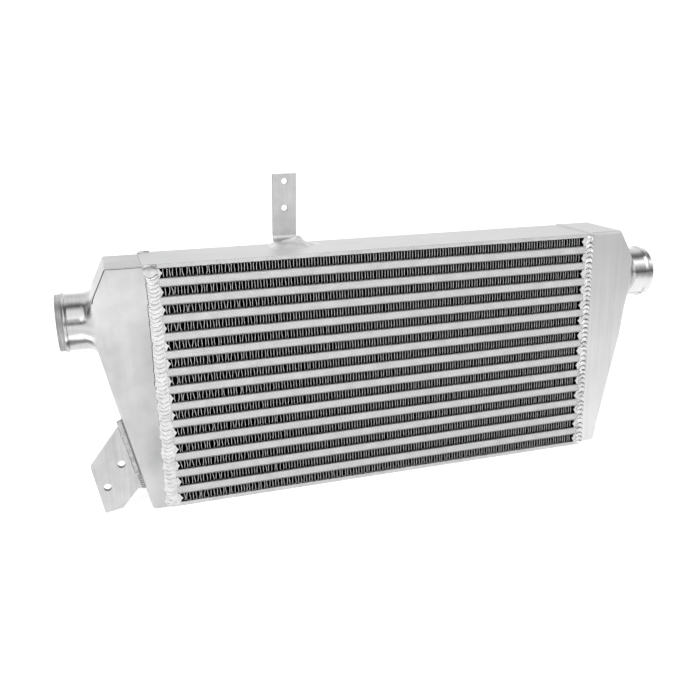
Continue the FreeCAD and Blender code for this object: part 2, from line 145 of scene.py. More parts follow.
def makeGrain():
    # fine blasted grain and soft clouds
    group, given, made = newGroup(
        "blastedGrain",
        [("Grain Scale", "NodeSocketFloat", 1500.0), ("Cloud Scale", "NodeSocketFloat", 25.0)],
        ["Grain", "Cloud"])
    place = framePlace(group)
    grain = noiseNode(group, place, given["Grain Scale"], 3.0, roughness=0.7)
    cloud = noiseNode(group, place, given["Cloud Scale"], 4.0, roughness=0.55)
    group.links.new(spread(group, grain, 0.3, 0.7), made["Grain"])
    group.links.new(spread(group, cloud, 0.32, 0.68), made["Cloud"])
    return group


def makeBrush():
    # brushing marks, long along the axis whose scale is small
    group, given, made = newGroup(
        "brushMarks",
        [("Along", "NodeSocketVector", (1.0, 1.0, 1.0)), ("Sharpness", "NodeSocketFloat", 0.5)],
        ["Marks", "Scratches"])
    drawn = timesNode(group, framePlace(group), given["Along"])
    marks = noiseNode(group, drawn, 1.0, 5.0, roughness=given["Sharpness"])
    bent = noiseNode(group, drawn, 2.3, 2.0, distortion=0.4)
    group.links.new(spread(group, marks, 0.3, 0.7), made["Marks"])
    group.links.new(spread(group, bent, 0.6, 0.72), made["Scratches"])
    return group


def makeTurn():
    # round a lengthwise axis: the angle in degrees above straight ahead, swaying a little, and the distance
    group, given, made = newGroup(
        "turnedRound",
        [("Axis Height", "NodeSocketFloat", 0.18), ("Sway", "NodeSocketFloat", 8.0)],
        ["Angle", "Away"])
    place = framePlace(group)
    parts = splitPlace(group, place)
    lift = mathNode(group, "SUBTRACT", parts["Z"], given["Axis Height"])
    ahead = mathNode(group, "MULTIPLY", parts["Y"], -1.0)
    turn = mathNode(group, "DEGREES", mathNode(group, "ARCTAN2", lift, ahead))
    drift = mathNode(group, "SUBTRACT", noiseNode(group, place, 75.0, 2.0), 0.5)
    swing = mathNode(group, "MULTIPLY", drift, given["Sway"])
    group.links.new(mathNode(group, "ADD", turn, swing), made["Angle"])
    square = mathNode(group, "ADD", mathNode(group, "MULTIPLY", lift, lift),
                      mathNode(group, "MULTIPLY", ahead, ahead))
    group.links.new(mathNode(group, "SQRT", square), made["Away"])
    return group


grainGroup = makeGrain()
brushGroup = makeBrush()
turnGroup = makeTurn()


# Bare aluminium in its finishes
def roundPipe(tree, look, tone, colour, rough):
    # what lies round the pipe: painted reflections in bands along it, and a polished ring on the sheet about
    # its root
    turned = groupNode(tree, turnGroup, {"Axis Height": look["axis"] * mm, "Sway": look["sway"]})
    far, near, smooth = look.get("ring", farOff)
    off = spread(tree, turned["Away"], near * mm, far * mm)
    if "ring" in look:
        rough = addNode(tree, "ShaderNodeMix", {0: off, 2: smooth, 3: rough}).outputs[0]
    if "bands" in look:
        share = spread(tree, turned["Angle"], -180.0, 180.0)
        bands = rampOf(tree, share, look["bands"], -180.0, 180.0)
        bands = timesNode(tree, bands, spread(tree, tone, 0.0, 1.0, *look["smear"]))
        colour = mixColours(tree, off, bands, colour)
    return colour, rough


def aluminium(name, own):
    # colour and roughness follow clouds, grain and brushing
    look = {**plainFinish, **own}
    material = bpy.data.materials.new(name)
    material.use_nodes = True
    tree = material.node_tree
    shader = tree.nodes["Principled BSDF"]
    shader.inputs["Metallic"].default_value = 1.0
    grain = groupNode(tree, grainGroup, {"Grain Scale": look["grainScale"],
                                         "Cloud Scale": look["cloudScale"]})
    brush = groupNode(tree, brushGroup, {"Along": look["brush"], "Sharpness": look["sharpness"]})
    cloudy, grainy, brushed = [mathNode(tree, "MULTIPLY", output, share) for share, output
                               in zip(look["shares"], (grain["Cloud"], grain["Grain"], brush["Marks"]))]
    tone = mathNode(tree, "ADD", mathNode(tree, "ADD", cloudy, grainy), brushed)
    colour = mixColours(tree, tone, grey(look["dark"]), grey(look["pale"]))
    for axis, low, high, first, last in look["fades"]:
        along = splitPlace(tree, framePlace(tree))[axis]
        colour = timesNode(tree, colour, spread(tree, along, low * mm, high * mm, first, last))
    rough = spread(tree, tone, 0.0, 1.0, *look["rough"])
    if "axis" in look:
        colour, rough = roundPipe(tree, look, tone, colour, rough)
    if "depth" in look:
        # painted shade in the passages: dark a little way in from the front and back faces
        out = mathNode(tree, "ABSOLUTE", splitPlace(tree, framePlace(tree))["Y"])
        lit = spread(tree, out, look["depth"][0] * mm, look["depth"][1] * mm)
        colour = mixColours(tree, lit, grey(look["paintedShadeGrey"]), colour)
    tree.links.new(colour, shader.inputs["Base Color"])
    tree.links.new(rough, shader.inputs["Roughness"])
    height = mathNode(tree, "ADD", mathNode(tree, "MULTIPLY", grain["Grain"], look["grainDepth"]),
                      mathNode(tree, "MULTIPLY", brush["Scratches"], look["scratchDepth"]))
    bump = addNode(tree, "ShaderNodeBump", {"Height": height, "Distance": mm})
    tree.links.new(bump.outputs["Normal"], shader.inputs["Normal"])
    return material


pipeHeights = dict(left=178.3, right=180.3)
farOff = (1000.0, 999.0, 0.14)  # a ring so wide that all of the pipe lies inside it
# painted reflections by the angle round a pipe, in degrees above straight ahead, and how bright each leaves
# the metal
leftPaintedReflections = ((-180, 0.6), (-60, 0.6), (-42, 0.56), (-36, 0.26), (-31, 0.16), (-27, 0.28), (-23, 0.9),
             (-17, 0.95), (-13, 0.6), (-8, 0.5), (1, 0.56), (6, 0.48), (9, 0.42), (13, 0.58), (18, 0.48),
             (24, 0.34), (31, 0.31), (36, 0.31), (41, 0.23), (45, 0.26), (48, 0.5), (52, 0.72), (58, 0.8),
             (66, 0.76), (76, 0.66), (180, 0.66))
rightPaintedReflections = ((-180, 0.7), (-62, 0.75), (-56, 0.4), (-50, 0.74), (-20, 0.72), (-10, 0.66), (-7, 0.56),
              (-4, 0.44), (-1, 0.34), (2, 0.26), (6, 0.22), (9, 0.22), (12, 0.26), (15, 0.34), (20, 0.36),
              (25, 0.48), (29, 0.66), (32, 0.9), (37, 1.0), (40, 0.85), (44, 0.6), (47, 0.4), (50, 0.33),
              (56, 0.33), (61, 0.5), (70, 0.8), (180, 0.74))
lipPaintedReflections = ((-180, 0.42), (-30, 0.4), (0, 0.35), (20, 0.28), (32, 0.27), (42, 0.25), (47, 0.27), (51, 0.33),
            (59, 0.48), (67, 0.62), (80, 0.6), (180, 0.55))

# what a finish has unless it says otherwise
plainFinish = dict(brush=(300.0, 300.0, 300.0), sharpness=0.5, scratchDepth=0.0, fades=(), sway=0.0,
                   smear=(0.86, 1.12))
finishes = {
    # shares are of clouds, grain and brushing; depths are in millimetres; a fade runs along an axis from one
    # place to another and changes the tone from the first level to the last
    "barStock": dict(dark=0.4, pale=0.82, rough=(0.42, 0.6), shares=(0.2, 0.7, 0.1), grainScale=1000.0,
                     cloudScale=60.0, brush=(40.0, 900.0, 900.0), grainDepth=0.16, scratchDepth=0.02),
    # painted shade darkens the end bars' noses a little way in from the faces
    "endStock": dict(dark=0.5, pale=0.92, rough=(0.4, 0.55), shares=(0.3, 0.6, 0.1), grainScale=900.0,
                     cloudScale=90.0, grainDepth=0.16, scratchDepth=0.02, depth=(32.4, 34.6), paintedShadeGrey=0.02),
    "coverSheet": dict(dark=0.66, pale=0.84, rough=(0.38, 0.5), shares=(0.4, 0.25, 0.35), grainScale=1500.0,
                       cloudScale=18.0, brush=(12.0, 700.0, 700.0), sharpness=0.6, grainDepth=0.02,
                       scratchDepth=0.012,
                       fades=(("X", -217.0, -110.0, 0.9, 1.0), ("X", 80.0, 200.0, 1.0, 0.98))),
    # painted light and shade: the fades by height make the flat plates lighter low down and above the pipe,
    # dimmer towards the top edge; the last fade darkens the sheet towards the weld
    "leftTankSheet": dict(dark=0.4, pale=0.65, rough=(0.34, 0.46), shares=(0.75, 0.1, 0.15),
                          grainScale=1800.0, cloudScale=20.0, brush=(160.0, 160.0, 14.0), sharpness=0.45,
                          grainDepth=0.006, scratchDepth=0.006,
                          fades=(("Z", 60.0, 130.0, 1.07, 1.0), ("Z", 160.0, 200.0, 1.0, 1.32),
                                 ("Z", 208.0, 226.0, 1.0, 0.88), ("Z", 227.0, 229.4, 1.0, 0.96),
                                 ("X", -242.0, -223.0, 1.0, 0.88)),
                          axis=pipeHeights["left"], sway=16.0, ring=(33.8, 28.5, 0.14), bands=leftPaintedReflections),
    # painted light and shade: lighter low down and darker towards the top, with a painted highlight along the
    # top edge
    "rightTankSheet": dict(dark=0.5, pale=0.655, rough=(0.34, 0.46), shares=(0.5, 0.1, 0.4),
                           grainScale=1800.0, cloudScale=16.0, brush=(420.0, 420.0, 9.0), grainDepth=0.006,
                           scratchDepth=0.008,
                           fades=(("Z", 40.0, 215.0, 1.26, 0.84), ("Z", 228.0, 231.4, 1.0, 1.42)),
                           axis=pipeHeights["right"], ring=(33.8, 28.0, 0.14)),
    # the pipes and the left lip carry painted reflections in bands round their axes
    "leftPipe": dict(dark=0.88, pale=1.0, rough=(0.12, 0.22), shares=(0.4, 0.2, 0.4), grainScale=1800.0,
                     cloudScale=40.0, brush=(900.0, 30.0, 30.0), grainDepth=0.002, scratchDepth=0.004,
                     axis=pipeHeights["left"], sway=16.0, bands=leftPaintedReflections),
    "rightPipe": dict(dark=0.88, pale=1.0, rough=(0.1, 0.18), shares=(0.4, 0.2, 0.4), grainScale=1800.0,
                      cloudScale=40.0, brush=(900.0, 30.0, 30.0), grainDepth=0.002, scratchDepth=0.004,
                      axis=pipeHeights["right"], sway=12.0, bands=rightPaintedReflections),
    "lipSatin": dict(dark=0.26, pale=0.6, rough=(0.42, 0.55), shares=(0.25, 0.1, 0.65), grainScale=1500.0,
                     cloudScale=90.0, brush=(900.0, 60.0, 60.0), grainDepth=0.01, scratchDepth=0.01,
                     axis=pipeHeights["left"], sway=14.0, smear=(0.5, 1.45), bands=lipPaintedReflections),
    # painted shade dims the end blob's lower edge and its top
    "weldSilver": dict(dark=0.5, pale=0.87, rough=(0.16, 0.28), shares=(0.5, 0.4, 0.1), grainScale=1100.0,
                       cloudScale=120.0, grainDepth=0.02,
                       fades=(("Z", 216.5, 219.0, 1.0, 0.92), ("Z", 224.0, 228.5, 1.0, 0.7))),
    "weldDusky": dict(dark=0.32, pale=1.0, rough=(0.12, 0.22), shares=(0.6, 0.3, 0.1), grainScale=1100.0,
                      cloudScale=160.0, grainDepth=0.02),
    "weldSoft": dict(dark=0.66, pale=0.88, rough=(0.28, 0.4), shares=(0.6, 0.3, 0.1), grainScale=1100.0,
                     cloudScale=140.0, brush=(200.0, 200.0, 200.0), grainDepth=0.006, scratchDepth=0.006),
    "weldGrey": dict(dark=0.26, pale=0.6, rough=(0.2, 0.36), shares=(0.6, 0.3, 0.1), grainScale=1100.0,
                     cloudScale=180.0, brush=(300.0, 300.0, 60.0), grainDepth=0.03, scratchDepth=0.02),
    # painted light and shade: darker up the lower plate towards its weld, lighter up the top strip
    "bracketStrip": dict(dark=0.46, pale=0.72, rough=(0.34, 0.48), shares=(0.45, 0.2, 0.35),
                         grainScale=1400.0, cloudScale=50.0, brush=(420.0, 420.0, 14.0), sharpness=0.6,
                         grainDepth=0.012, scratchDepth=0.012,
                         fades=(("Z", 30.0, 90.0, 0.98, 0.9), ("Z", 100.0, 200.0, 1.0, 1.11))),
    # dull cut walls; the same dark finish is painted shade along bead edges, bead ripples and the open ground
    # joint
    "dullWallAndShade": dict(dark=0.12, pale=0.3, rough=(0.4, 0.5), shares=(0.3, 0.5, 0.2), grainScale=1400.0,
                        cloudScale=60.0, brush=(500.0, 900.0, 500.0), sharpness=0.6, grainDepth=0.02,
                        scratchDepth=0.02),
    "seamShade": dict(dark=0.03, pale=0.12, rough=(0.5, 0.6), shares=(0.5, 0.4, 0.1), grainScale=1300.0,
                      cloudScale=120.0, grainDepth=0.02),
    # painted shade darkens the fins and the inner sheets a little way in from the faces
    "finSheet": dict(dark=0.62, pale=0.98, rough=(0.4, 0.5), shares=(0.6, 0.3, 0.1), grainScale=1500.0,
                     cloudScale=200.0, grainDepth=0.01, depth=(32.3, 34.2), paintedShadeGrey=0.004),
    "innerSheet": dict(dark=0.2, pale=0.5, rough=(0.4, 0.55), shares=(0.4, 0.5, 0.1), grainScale=1300.0,
                       cloudScale=80.0, brush=(40.0, 900.0, 900.0), grainDepth=0.02, depth=(32.5, 34.6),
                       paintedShadeGrey=0.01),
}
metals = {name: aluminium(name, look) for name, look in finishes.items()}
print("finishes made:", ", ".join(metals))


# Small mesh helpers, all in millimetres
def newMesh(name, points, faces, second=(), merged=False):
    # the faces numbered in second take the second finish
    mesh = bpy.data.meshes.new(name)
    mesh.from_pydata([tuple(c * mm for c in p) for p in points], [], faces)
    form = bmesh.new()
    form.from_mesh(mesh)
    form.faces.ensure_lookup_table()
    for number in second:
        form.faces[number].material_index = 1
    if merged:
        bmesh.ops.remove_doubles(form, verts=form.verts, dist=1e-7)
    bmesh.ops.recalc_face_normals(form, faces=form.faces)
    form.to_mesh(mesh)
    form.free()
    return mesh


def dressPiece(piece, metal, nodes, slotName, sharpAngle, weighted=False):
    piece.data.shade_smooth()
    piece.data.set_sharp_from_angle(angle=math.radians(sharpAngle))
    piece.data.materials.clear()
    piece.data.materials.append(metals[metal])
    scene.collection.objects.link(piece)
    if weighted:
        modifier = piece.modifiers.new("weighted", "WEIGHTED_NORMAL")
        modifier.keep_sharp = True
        modifier.weight = 90
    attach(piece, "root")
    if nodes:
        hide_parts(*nodes)
    return piece


def makePiece(name, points, faces, metal, nodes, slotName, sharpAngle, weighted=False, shaded=(),
              second="seamShade"):
    # the faces numbered in shaded take the second finish
    mesh = newMesh(name, points, faces, shaded, merged=True)
    # the marks are lost when the first finish goes on, so they are set again after it
    kept = [face.index for face in mesh.polygons if face.material_index == 1]
    piece = dressPiece(bpy.data.objects.new(name, mesh), metal, nodes, slotName, sharpAngle, weighted)
    if kept:
        mesh.materials.append(metals[second])
        for number in kept:
            mesh.polygons[number].material_index = 1
    return piece


def plainObject(name, points, faces):
    item = bpy.data.objects.new(name, newMesh(name, points, faces))
    scene.collection.objects.link(item)
    return item


def paintFaces(piece, metal, chosen):
    # the faces that pass the test take another finish
    piece.data.materials.append(metals[metal])
    for face in piece.data.polygons:
        if chosen(face):
            face.material_index = 1


def boxOf(node):
    low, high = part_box(node)
    return low / mm, high / mm


def steps(low, high, longest):
    count = max(1, math.ceil(abs(high - low) / longest))
    return [low + (high - low) * n / count for n in range(count + 1)]


def smoothStep(value, low, high):
    t = min(max((value - low) / (high - low), 0.0), 1.0)
    return t * t * (3 - 2 * t)


def betweenKnots(knots, z):
    for (z0, first), (z1, last) in zip(knots, knots[1:]):
        if z <= z1:
            return first + (last - first) * max(z - z0, 0.0) / (z1 - z0)
    return knots[-1][1]


def roundedOutline(corners, radius, turns=3):
    # a closed outline with each corner rounded
    points = []
    radii = radius if isinstance(radius, (list, tuple)) else [radius] * len(corners)
    for k, corner in enumerate(corners):
        here = Vector(corner)
        back = (Vector(corners[k - 1]) - here).normalized()
        on = (Vector(corners[(k + 1) % len(corners)]) - here).normalized()
        half = back.angle(on) / 2
        centre = here + (back + on).normalized() * (radii[k] / math.sin(half))
        start = here + back * (radii[k] / math.tan(half)) - centre
        end = here + on * (radii[k] / math.tan(half)) - centre
        first = math.atan2(start.y, start.x)
        turn = (math.atan2(end.y, end.x) - first + math.pi) % (2 * math.pi) - math.pi
        for step in range(turns + 1):
            angle = first + turn * step / turns
            points.append(centre + Vector((math.cos(angle), math.sin(angle))) * radii[k])
    return points


def splitLong(outline, longest):
    # more points where two neighbours are far apart
    points = []
    for k, here in enumerate(outline):
        after = outline[(k + 1) % len(outline)]
        count = max(1, math.ceil((after - here).length / longest))
        points += [here.lerp(after, n / count) for n in range(count)]
    return points


def tubeFaces(rings, count):
    # quads between neighbouring rings of points, then a cap at each end; a quad's number is its first point's
    faces = []
    for ring in range(rings - 1):
        for k in range(count):
            a, b = ring * count + k, ring * count + (k + 1) % count
            faces.append((a, b, b + count, a + count))
    return faces + [tuple(range(count)), tuple((rings - 1) * count + k for k in range(count))]


def drawOut(outline, stations, place, rough=0.0, grainSize=3.0):
    # an outline drawn out through stations, with its skin moved in and out a little
    points = []
    for station in stations:
        for k, here in enumerate(outline):
            along = outline[(k + 1) % len(outline)] - outline[k - 1]
            skin = Vector((along.y, -along.x)).normalized()
            spot = Vector(place(station, here.x, here.y))
            move = noise.noise(spot / grainSize) * rough
            points.append(place(station, here.x + skin.x * move, here.y + skin.y * move))
    return points, tubeFaces(len(stations), len(outline))


def joined(parts):
    points, faces = [], []
    for morePoints, moreFaces in parts:
        start = len(points)
        points += morePoints
        faces += [tuple(start + k for k in face) for face in moreFaces]
    return points, faces


# Core: bars, covers and sheets
barLook = dict(edge=0.55, station=4.0, rough=0.16, grainSize=2.2, spacing=2.2)
coverLook = dict(edge=0.7, station=1.5, rough=0.34, grainSize=1.5, spacing=3.0)


def sweptBars(name, boxes, look, metal, nodes, slotName):
    # long bars along X, each a rounded section with a slightly uneven skin that never dips under the floor
    bars = []
    for low, high in boxes:
        corners = [(low.y, low.z), (high.y, low.z), (high.y, high.z), (low.y, high.z)]
        outline = splitLong(roundedOutline(corners, look["edge"]), look["spacing"])
        bars.append(drawOut(outline, steps(low.x, high.x, look["station"]),
                            lambda s, a, b: (s, a, max(b, 0.0)), look["rough"], look["grainSize"]))
    return makePiece(name, *joined(bars), metal, nodes, slotName, 60.0)


def coverPlate(name, node):
    # its sawn front and back edges are as rough as the bars
    piece = sweptBars(name, [boxOf(node)], coverLook, "coverSheet", [node], "cover")
    paintFaces(piece, "barStock", lambda face: abs(face.normal.y) > 0.6)


airRows = [boxOf(f"air_fin_{n:02d}") for n in range(1, 15)]
frontBars = [boxOf(f"face_bar_front_{n:02d}") for n in range(1, 14)]
for n, box in enumerate(frontBars, start=1):
    sweptBars(f"frontBar{n:02d}", [box], barLook, "barStock", [f"face_bar_front_{n:02d}"], "core_bar")
backBars = [(Vector((low.x, -high.y, low.z)), Vector((high.x, -low.y, high.z))) for low, high in frontBars]
sweptBars("backBars", backBars, barLook, "barStock", ["face_bars_back"], "core_bar")
coverPlate("topCover", "top_cover_plate")
coverPlate("bottomCover", "bottom_cover_plate")

endBarLook = dict(width=dict(left=7.6, right=6.3), nose=dict(left=3.0, right=2.9), shortest=0.75,
                  shoulder=0.34, brow=1.9, wander=0.4, rounds=(0.3, 0.5, 0.6, 0.35, 0.6, 0.5, 0.3),
                  spacing=1.0, rough=0.3, grainSize=1.1, station=2.5, seed=3)


def noseBars(side):
    # a column of end bars, whose noses point into the air rows, each a little different
    look, sign = endBarLook, outward[side]
    low, high = boxOf(f"end_bars_{side}")
    outer = low.x if side == "left" else high.x
    root = outer - sign * look["width"][side]
    rng = random.Random(look["seed"])
    bars = []
    for rowLow, rowHigh in airRows:
        middle = (rowLow.z + rowHigh.z) / 2 + rng.uniform(-look["wander"], look["wander"])
        reach = look["nose"][side] * rng.uniform(look["shortest"], 1.0)
        shoulder, tip = root - sign * look["shoulder"] * reach, root - sign * reach
        corners = [(outer, rowLow.z), (root, rowLow.z), (shoulder, middle - look["brow"]), (tip, middle),
                   (shoulder, middle + look["brow"]), (root, rowHigh.z), (outer, rowHigh.z)]
        outline = splitLong(roundedOutline(corners, look["rounds"]), look["spacing"])
        bars.append(drawOut(outline, steps(low.y, high.y, look["station"]), lambda s, a, b: (a, s, b),
                            look["rough"], look["grainSize"]))
    makePiece(f"{side}NoseBars", *joined(bars), "endStock", [f"end_bars_{side}"], "core_bar", 60.0)


noseBars("left")
noseBars("right")
for node in ("parting_sheets", "turbulators"):
    sheet = frame["nodes"][node]
    sheet.data.materials.clear()
    sheet.data.materials.append(metals["innerSheet"])
print("core bars and covers made")


# Corrugated fins, one long folded sheet for each air row, crushed towards the left end
finLook = dict(legs=147, sheet=0.36, fold=0.6, foldAngles=(35, 90, 145), setBack=1.1, legSetBack=0.3,
               legShares=(0.0, 0.3, 0.7, 1.0), wander=0.1, slant=0.16, turn=0.16, frontBend=0.2, bowFrom=0.12,
               bowOver=0.76, bowed=(1.0, 0.75, 0.15), lip=1.4, crushLegs=46, crushSlant=0.8, crushTurn=0.5,
               crushBend=1.8, seed=41)


def crushAt(leg):
    return max(0.0, 1 - leg / finLook["crushLegs"])


def finLine(low, high, rng):
    # the sheet's middle line, up one leg, round a fold and down the next; how far each point bows aside at
    # the faces; and how far it stands back from them
    look = finLook
    step = (high.x - low.x - 2 * look["sheet"]) / look["legs"]
    height = high.z - low.z - look["sheet"]
    middle = (low.z + high.z) / 2
    bottoms, tops = [], []
    for leg in range(look["legs"]):
        x = low.x + look["sheet"] + (leg + 0.5) * step
        slant = look["slant"] + (look["crushSlant"] - look["slant"]) * crushAt(leg)
        shift = rng.uniform(-1, 1) * look["wander"]
        turn = (look["turn"] + look["crushTurn"] * crushAt(leg)) * (1 if leg % 2 else -1)
        lean = rng.gauss(0, 1) * slant * 0.5 + turn
        bottoms.append(x + shift - lean * 0.5)
        tops.append(x + shift + lean * 0.5)
    line, bends, backs = [], [], []
    for leg in range(look["legs"]):
        up = leg % 2 == 0
        bend = rng.gauss(0, 1) * look["frontBend"] * (1 + look["crushBend"] * crushAt(leg))
        fold = look["fold"]
        for share in look["legShares"] if up else look["legShares"][::-1]:
            z = middle - height / 2 + fold + share * (height - 2 * fold)
            line.append((bottoms[leg] + (tops[leg] - bottoms[leg]) * share, z))
            bends.append(bend * math.sin(math.pi * (look["bowFrom"] + look["bowOver"] * share)))
            backs.append(look["setBack"] * look["legSetBack"] if share in (0.0, 1.0) else 0.0)
        if leg + 1 < look["legs"]:
            ends, z = (tops, middle + height / 2) if up else (bottoms, middle - height / 2)
            half = (ends[leg + 1] - ends[leg]) / 2
            sign = 1 if up else -1
            for angle in look["foldAngles"]:
                turn = math.radians(angle)
                line.append((ends[leg] + half - half * math.cos(turn),
                             z - sign * fold * (1 - math.sin(turn))))
                bends.append(0.0)
                backs.append(look["setBack"])
    return line, bends, backs


def finRow(number, low, high):
    look = finLook
    line, bends, backs = finLine(low, high, random.Random(look["seed"] + number))
    lips = (0, look["lip"], 3 * look["lip"])
    depths = [low.y + lip for lip in lips] + [high.y - lip for lip in lips[::-1]]
    points, faces = [], []
    count, last = len(line), len(depths) - 1
    for row, (depth, share) in enumerate(zip(depths, look["bowed"] + look["bowed"][::-1])):
        inwards = {0: 1.0, last: -1.0}.get(row, 0.0)
        moved = [Vector((x + bend * share, z)) for (x, z), bend in zip(line, bends)]
        for side in (-1, 1):
            for k in range(count):
                along = moved[min(k + 1, count - 1)] - moved[max(k - 1, 0)]
                skin = Vector((-along.y, along.x)).normalized() * (look["sheet"] / 2 * side)
                spot = moved[k] + skin
                points.append((spot.x, depth + backs[k] * inwards, min(max(spot.y, low.z), high.z)))
    for row in range(last):
        for k in range(count - 1):
            a = row * 2 * count + k
            faces.append((a, a + 1, a + 1 + 2 * count, a + 2 * count))
            faces.append((a + count, a + count + 1, a + count + 1 + 2 * count, a + 3 * count))
        for k in (0, count - 1):
            a = row * 2 * count + k
            faces.append((a, a + count, a + 3 * count, a + 2 * count))
    for row in (0, last):
        for k in range(count - 1):
            a = row * 2 * count + k
            faces.append((a, a + 1, a + count + 1, a + count))
    makePiece(f"finRow{number:02d}", points, faces, "finSheet", [f"air_fin_{number:02d}"], "air_fin", 60.0)


for n, (low, high) in enumerate(airRows, start=1):
    finRow(n, low, high)
print("fin rows made:", len(airRows))


# End tanks, each one smooth shell with its neck drawn out of the nose; X outward from the core's end
tank = dict(top=37.5, foot=17.5, nose=57.5, drop=40.3, height=229.4, half=34.0, wall=3.0, coreEnd=217.5,
            bends=(0.0, 4.5, 65.0, 1.6, 0.0), leastBend=0.25, pipeDrop=11.0, pipe=25.4, flare=8.4,
            lifts=dict(left=0.2, right=2.2), fuller=(1.0, 2.6, 0.2), fullerBlend=16.0, fullerFrom=12.0)
# radius of the rounded edge: wide beside the pipe, nearly sharp along the upper slant; the pairs are heights,
# and for the top distances from the core, between which one radius passes into the next
rimLook = dict(top=1.6, lower=3.0, pipe=8.0, sharp=1.2, toLower=(6.0, 20.0), toPipe=(115.0, 152.0),
               toSharp=(186.0, 203.0), topToSharp=(30.0, 37.0), least=0.4)
# where the plates meet the strip: a groove along the upper slant, open on the left tank
jointLook = dict(at=33.4, groove=0.9, grooveFrom=(190.0, 198.0), openFrom=199.0, inner=33.0, topInner=33.7,
                 outer=33.95)
# the stretch of the grid that turns into rings round the pipe
ringLook = dict(lowest=0.7, highest=0.3, half=31.6, rings=16)
noseZ = tank["height"] - tank["drop"]
pipeZ = noseZ - tank["pipeDrop"]
tankCorners = [Vector(p) for p in ((0, 0), (tank["foot"], 0), (tank["nose"], noseZ),
                                   (tank["top"], tank["height"]), (0, tank["height"]))]
tankSides = [(tankCorners[k + 1] - tankCorners[k]).normalized() for k in range(4)]
inward = [Vector((-side.y, side.x)) for side in tankSides]
spans = [("side", 0, 4), ("bend", 1, 5), ("side", 1, 40), ("bend", 2, 22), ("side", 2, 12), ("bend", 3, 4),
         ("side", 3, 9)]
tankRows = [(kind, k, n / count) for kind, k, count in spans for n in range(count)] + [("side", 3, 1.0)]
halfStations = [34.0, 33.93, 33.72, 33.4, 33.1, 32.85, 32.6, 32.2, 31.6, 30.4, 28.6, 26.2, 23.0, 18.5,
                12.5, 6.0]
stations = [-y for y in halfStations] + [0.0] + halfStations[::-1]


def cornerAt(k, inset):
    if k in (0, 4):
        return Vector((0, inset if k == 0 else tank["height"] - inset))
    both = inward[k - 1] + inward[k]
    return tankCorners[k] + both * (inset / (1 + inward[k - 1].dot(inward[k])))


def bendAt(k, inset):
    # where a bend starts and ends, its centre, its radius and how far it turns
    radius = max(tank["bends"][k] - inset, tank["leastBend"])
    turn = tankSides[k - 1].angle(tankSides[k])
    reach = radius * math.tan(turn / 2)
    start = cornerAt(k, inset) - tankSides[k - 1] * reach
    end = cornerAt(k, inset) + tankSides[k] * reach
    return start, end, start + inward[k - 1] * radius, radius, turn


def outlineAt(row, inset):
    kind, k, share = tankRows[row]
    if kind == "bend":
        start, _, centre, _, turn = bendAt(k, inset)
        spoke = start - centre
        angle = turn * share
        return centre + Vector((spoke.x * math.cos(angle) - spoke.y * math.sin(angle),
                                spoke.x * math.sin(angle) + spoke.y * math.cos(angle)))
    first = cornerAt(0, inset) if k == 0 else bendAt(k, inset)[1]
    last = cornerAt(4, inset) if k == 3 else bendAt(k + 1, inset)[0]
    return first.lerp(last, share)


def reachAt(z, inset):
    # how far the outer wall stands from the core's end at a height
    start, end, centre, radius, _ = bendAt(2, inset)
    if start.y < z < end.y:
        return centre.x + math.sqrt(radius ** 2 - (z - centre.y) ** 2)
    first, last = (bendAt(1, inset)[1], start) if z <= start.y else (end, bendAt(3, inset)[0])
    return first.x + (z - first.y) * (last.x - first.x) / (last.y - first.y)


def rimAt(row, z, x):
    look = rimLook
    kind, k, _ = tankRows[row]
    if k == 0 or (kind == "bend" and k == 1):
        return look["top"]
    if k == 3:
        return look["top"] + (look["sharp"] - look["top"]) * smoothStep(x, *look["topToSharp"])
    lower = look["top"] + (look["lower"] - look["top"]) * smoothStep(z, *look["toLower"])
    beside = lower + (look["pipe"] - lower) * smoothStep(z, *look["toPipe"])
    return beside + (look["sharp"] - beside) * smoothStep(z, *look["toSharp"])


def rimInset(y, half, rim):
    past = abs(y) - (half - rim)
    return rim - math.sqrt(max(rim ** 2 - past ** 2, 0.0)) if past > 0 else 0.0


def flareAt(y, z):
    # how far the neck draws the wall out, in a quarter round about the pipe
    width = tank["flare"]
    gap = math.hypot(y, z - pipeZ) - tank["pipe"]
    if gap < 0 or gap >= width:
        return width if gap < 0 else 0.0
    return width - math.sqrt(width ** 2 - (width - gap) ** 2)


def tankPoint(row, y, depth, flared):
    # a point of the shell's skin, depth in from the outside
    half = tank["half"] - depth
    here = outlineAt(row, depth)
    for _ in range(3):
        rim = max(rimAt(row, here.y, here.x) - depth, rimLook["least"])
        here = outlineAt(row, depth + rimInset(y, half, rim))
    x = here.x
    if flared:
        if 1 <= tankRows[row][1] <= 2:
            x += flareAt(y, here.y)
        if tankRows[row][1] == 2 and abs(abs(y) - jointLook["at"]) < 0.01:
            x -= jointLook["groove"] * smoothStep(here.y, *jointLook["grooveFrom"])
    return (x, y, here.y)


def inSeam(side, row, col):
    # the open seam between the plates and the strip, along the left tank's upper slant and, faintly, its top
    near, far = sorted((abs(stations[col]), abs(stations[col + 1])))
    if side == "right" or far >= jointLook["outer"]:
        return False
    k = tankRows[row][1]
    if k == 2:
        return near > jointLook["inner"] and outlineAt(row, 0).y > jointLook["openFrom"]
    return k == 3 and near > jointLook["topInner"]


def moreReach(side, x, z):
    # the right tank was bent a little fuller than the left
    if side == "left":
        return 0.0
    low, middle, high = tank["fuller"]
    below, above = low + (middle - low) * z / noseZ, middle + (high - middle) * (z - noseZ) / tank["drop"]
    share = smoothStep(z, noseZ - tank["fullerBlend"], noseZ + tank["fullerBlend"])
    return (below * (1 - share) + above * share) * min(max(x / tank["fullerFrom"], 0.0), 1.0)


def rowWhere(k, share):
    return next(r for r, plan in enumerate(tankRows) if plan[:2] == ("side", k) and plan[2] >= share)


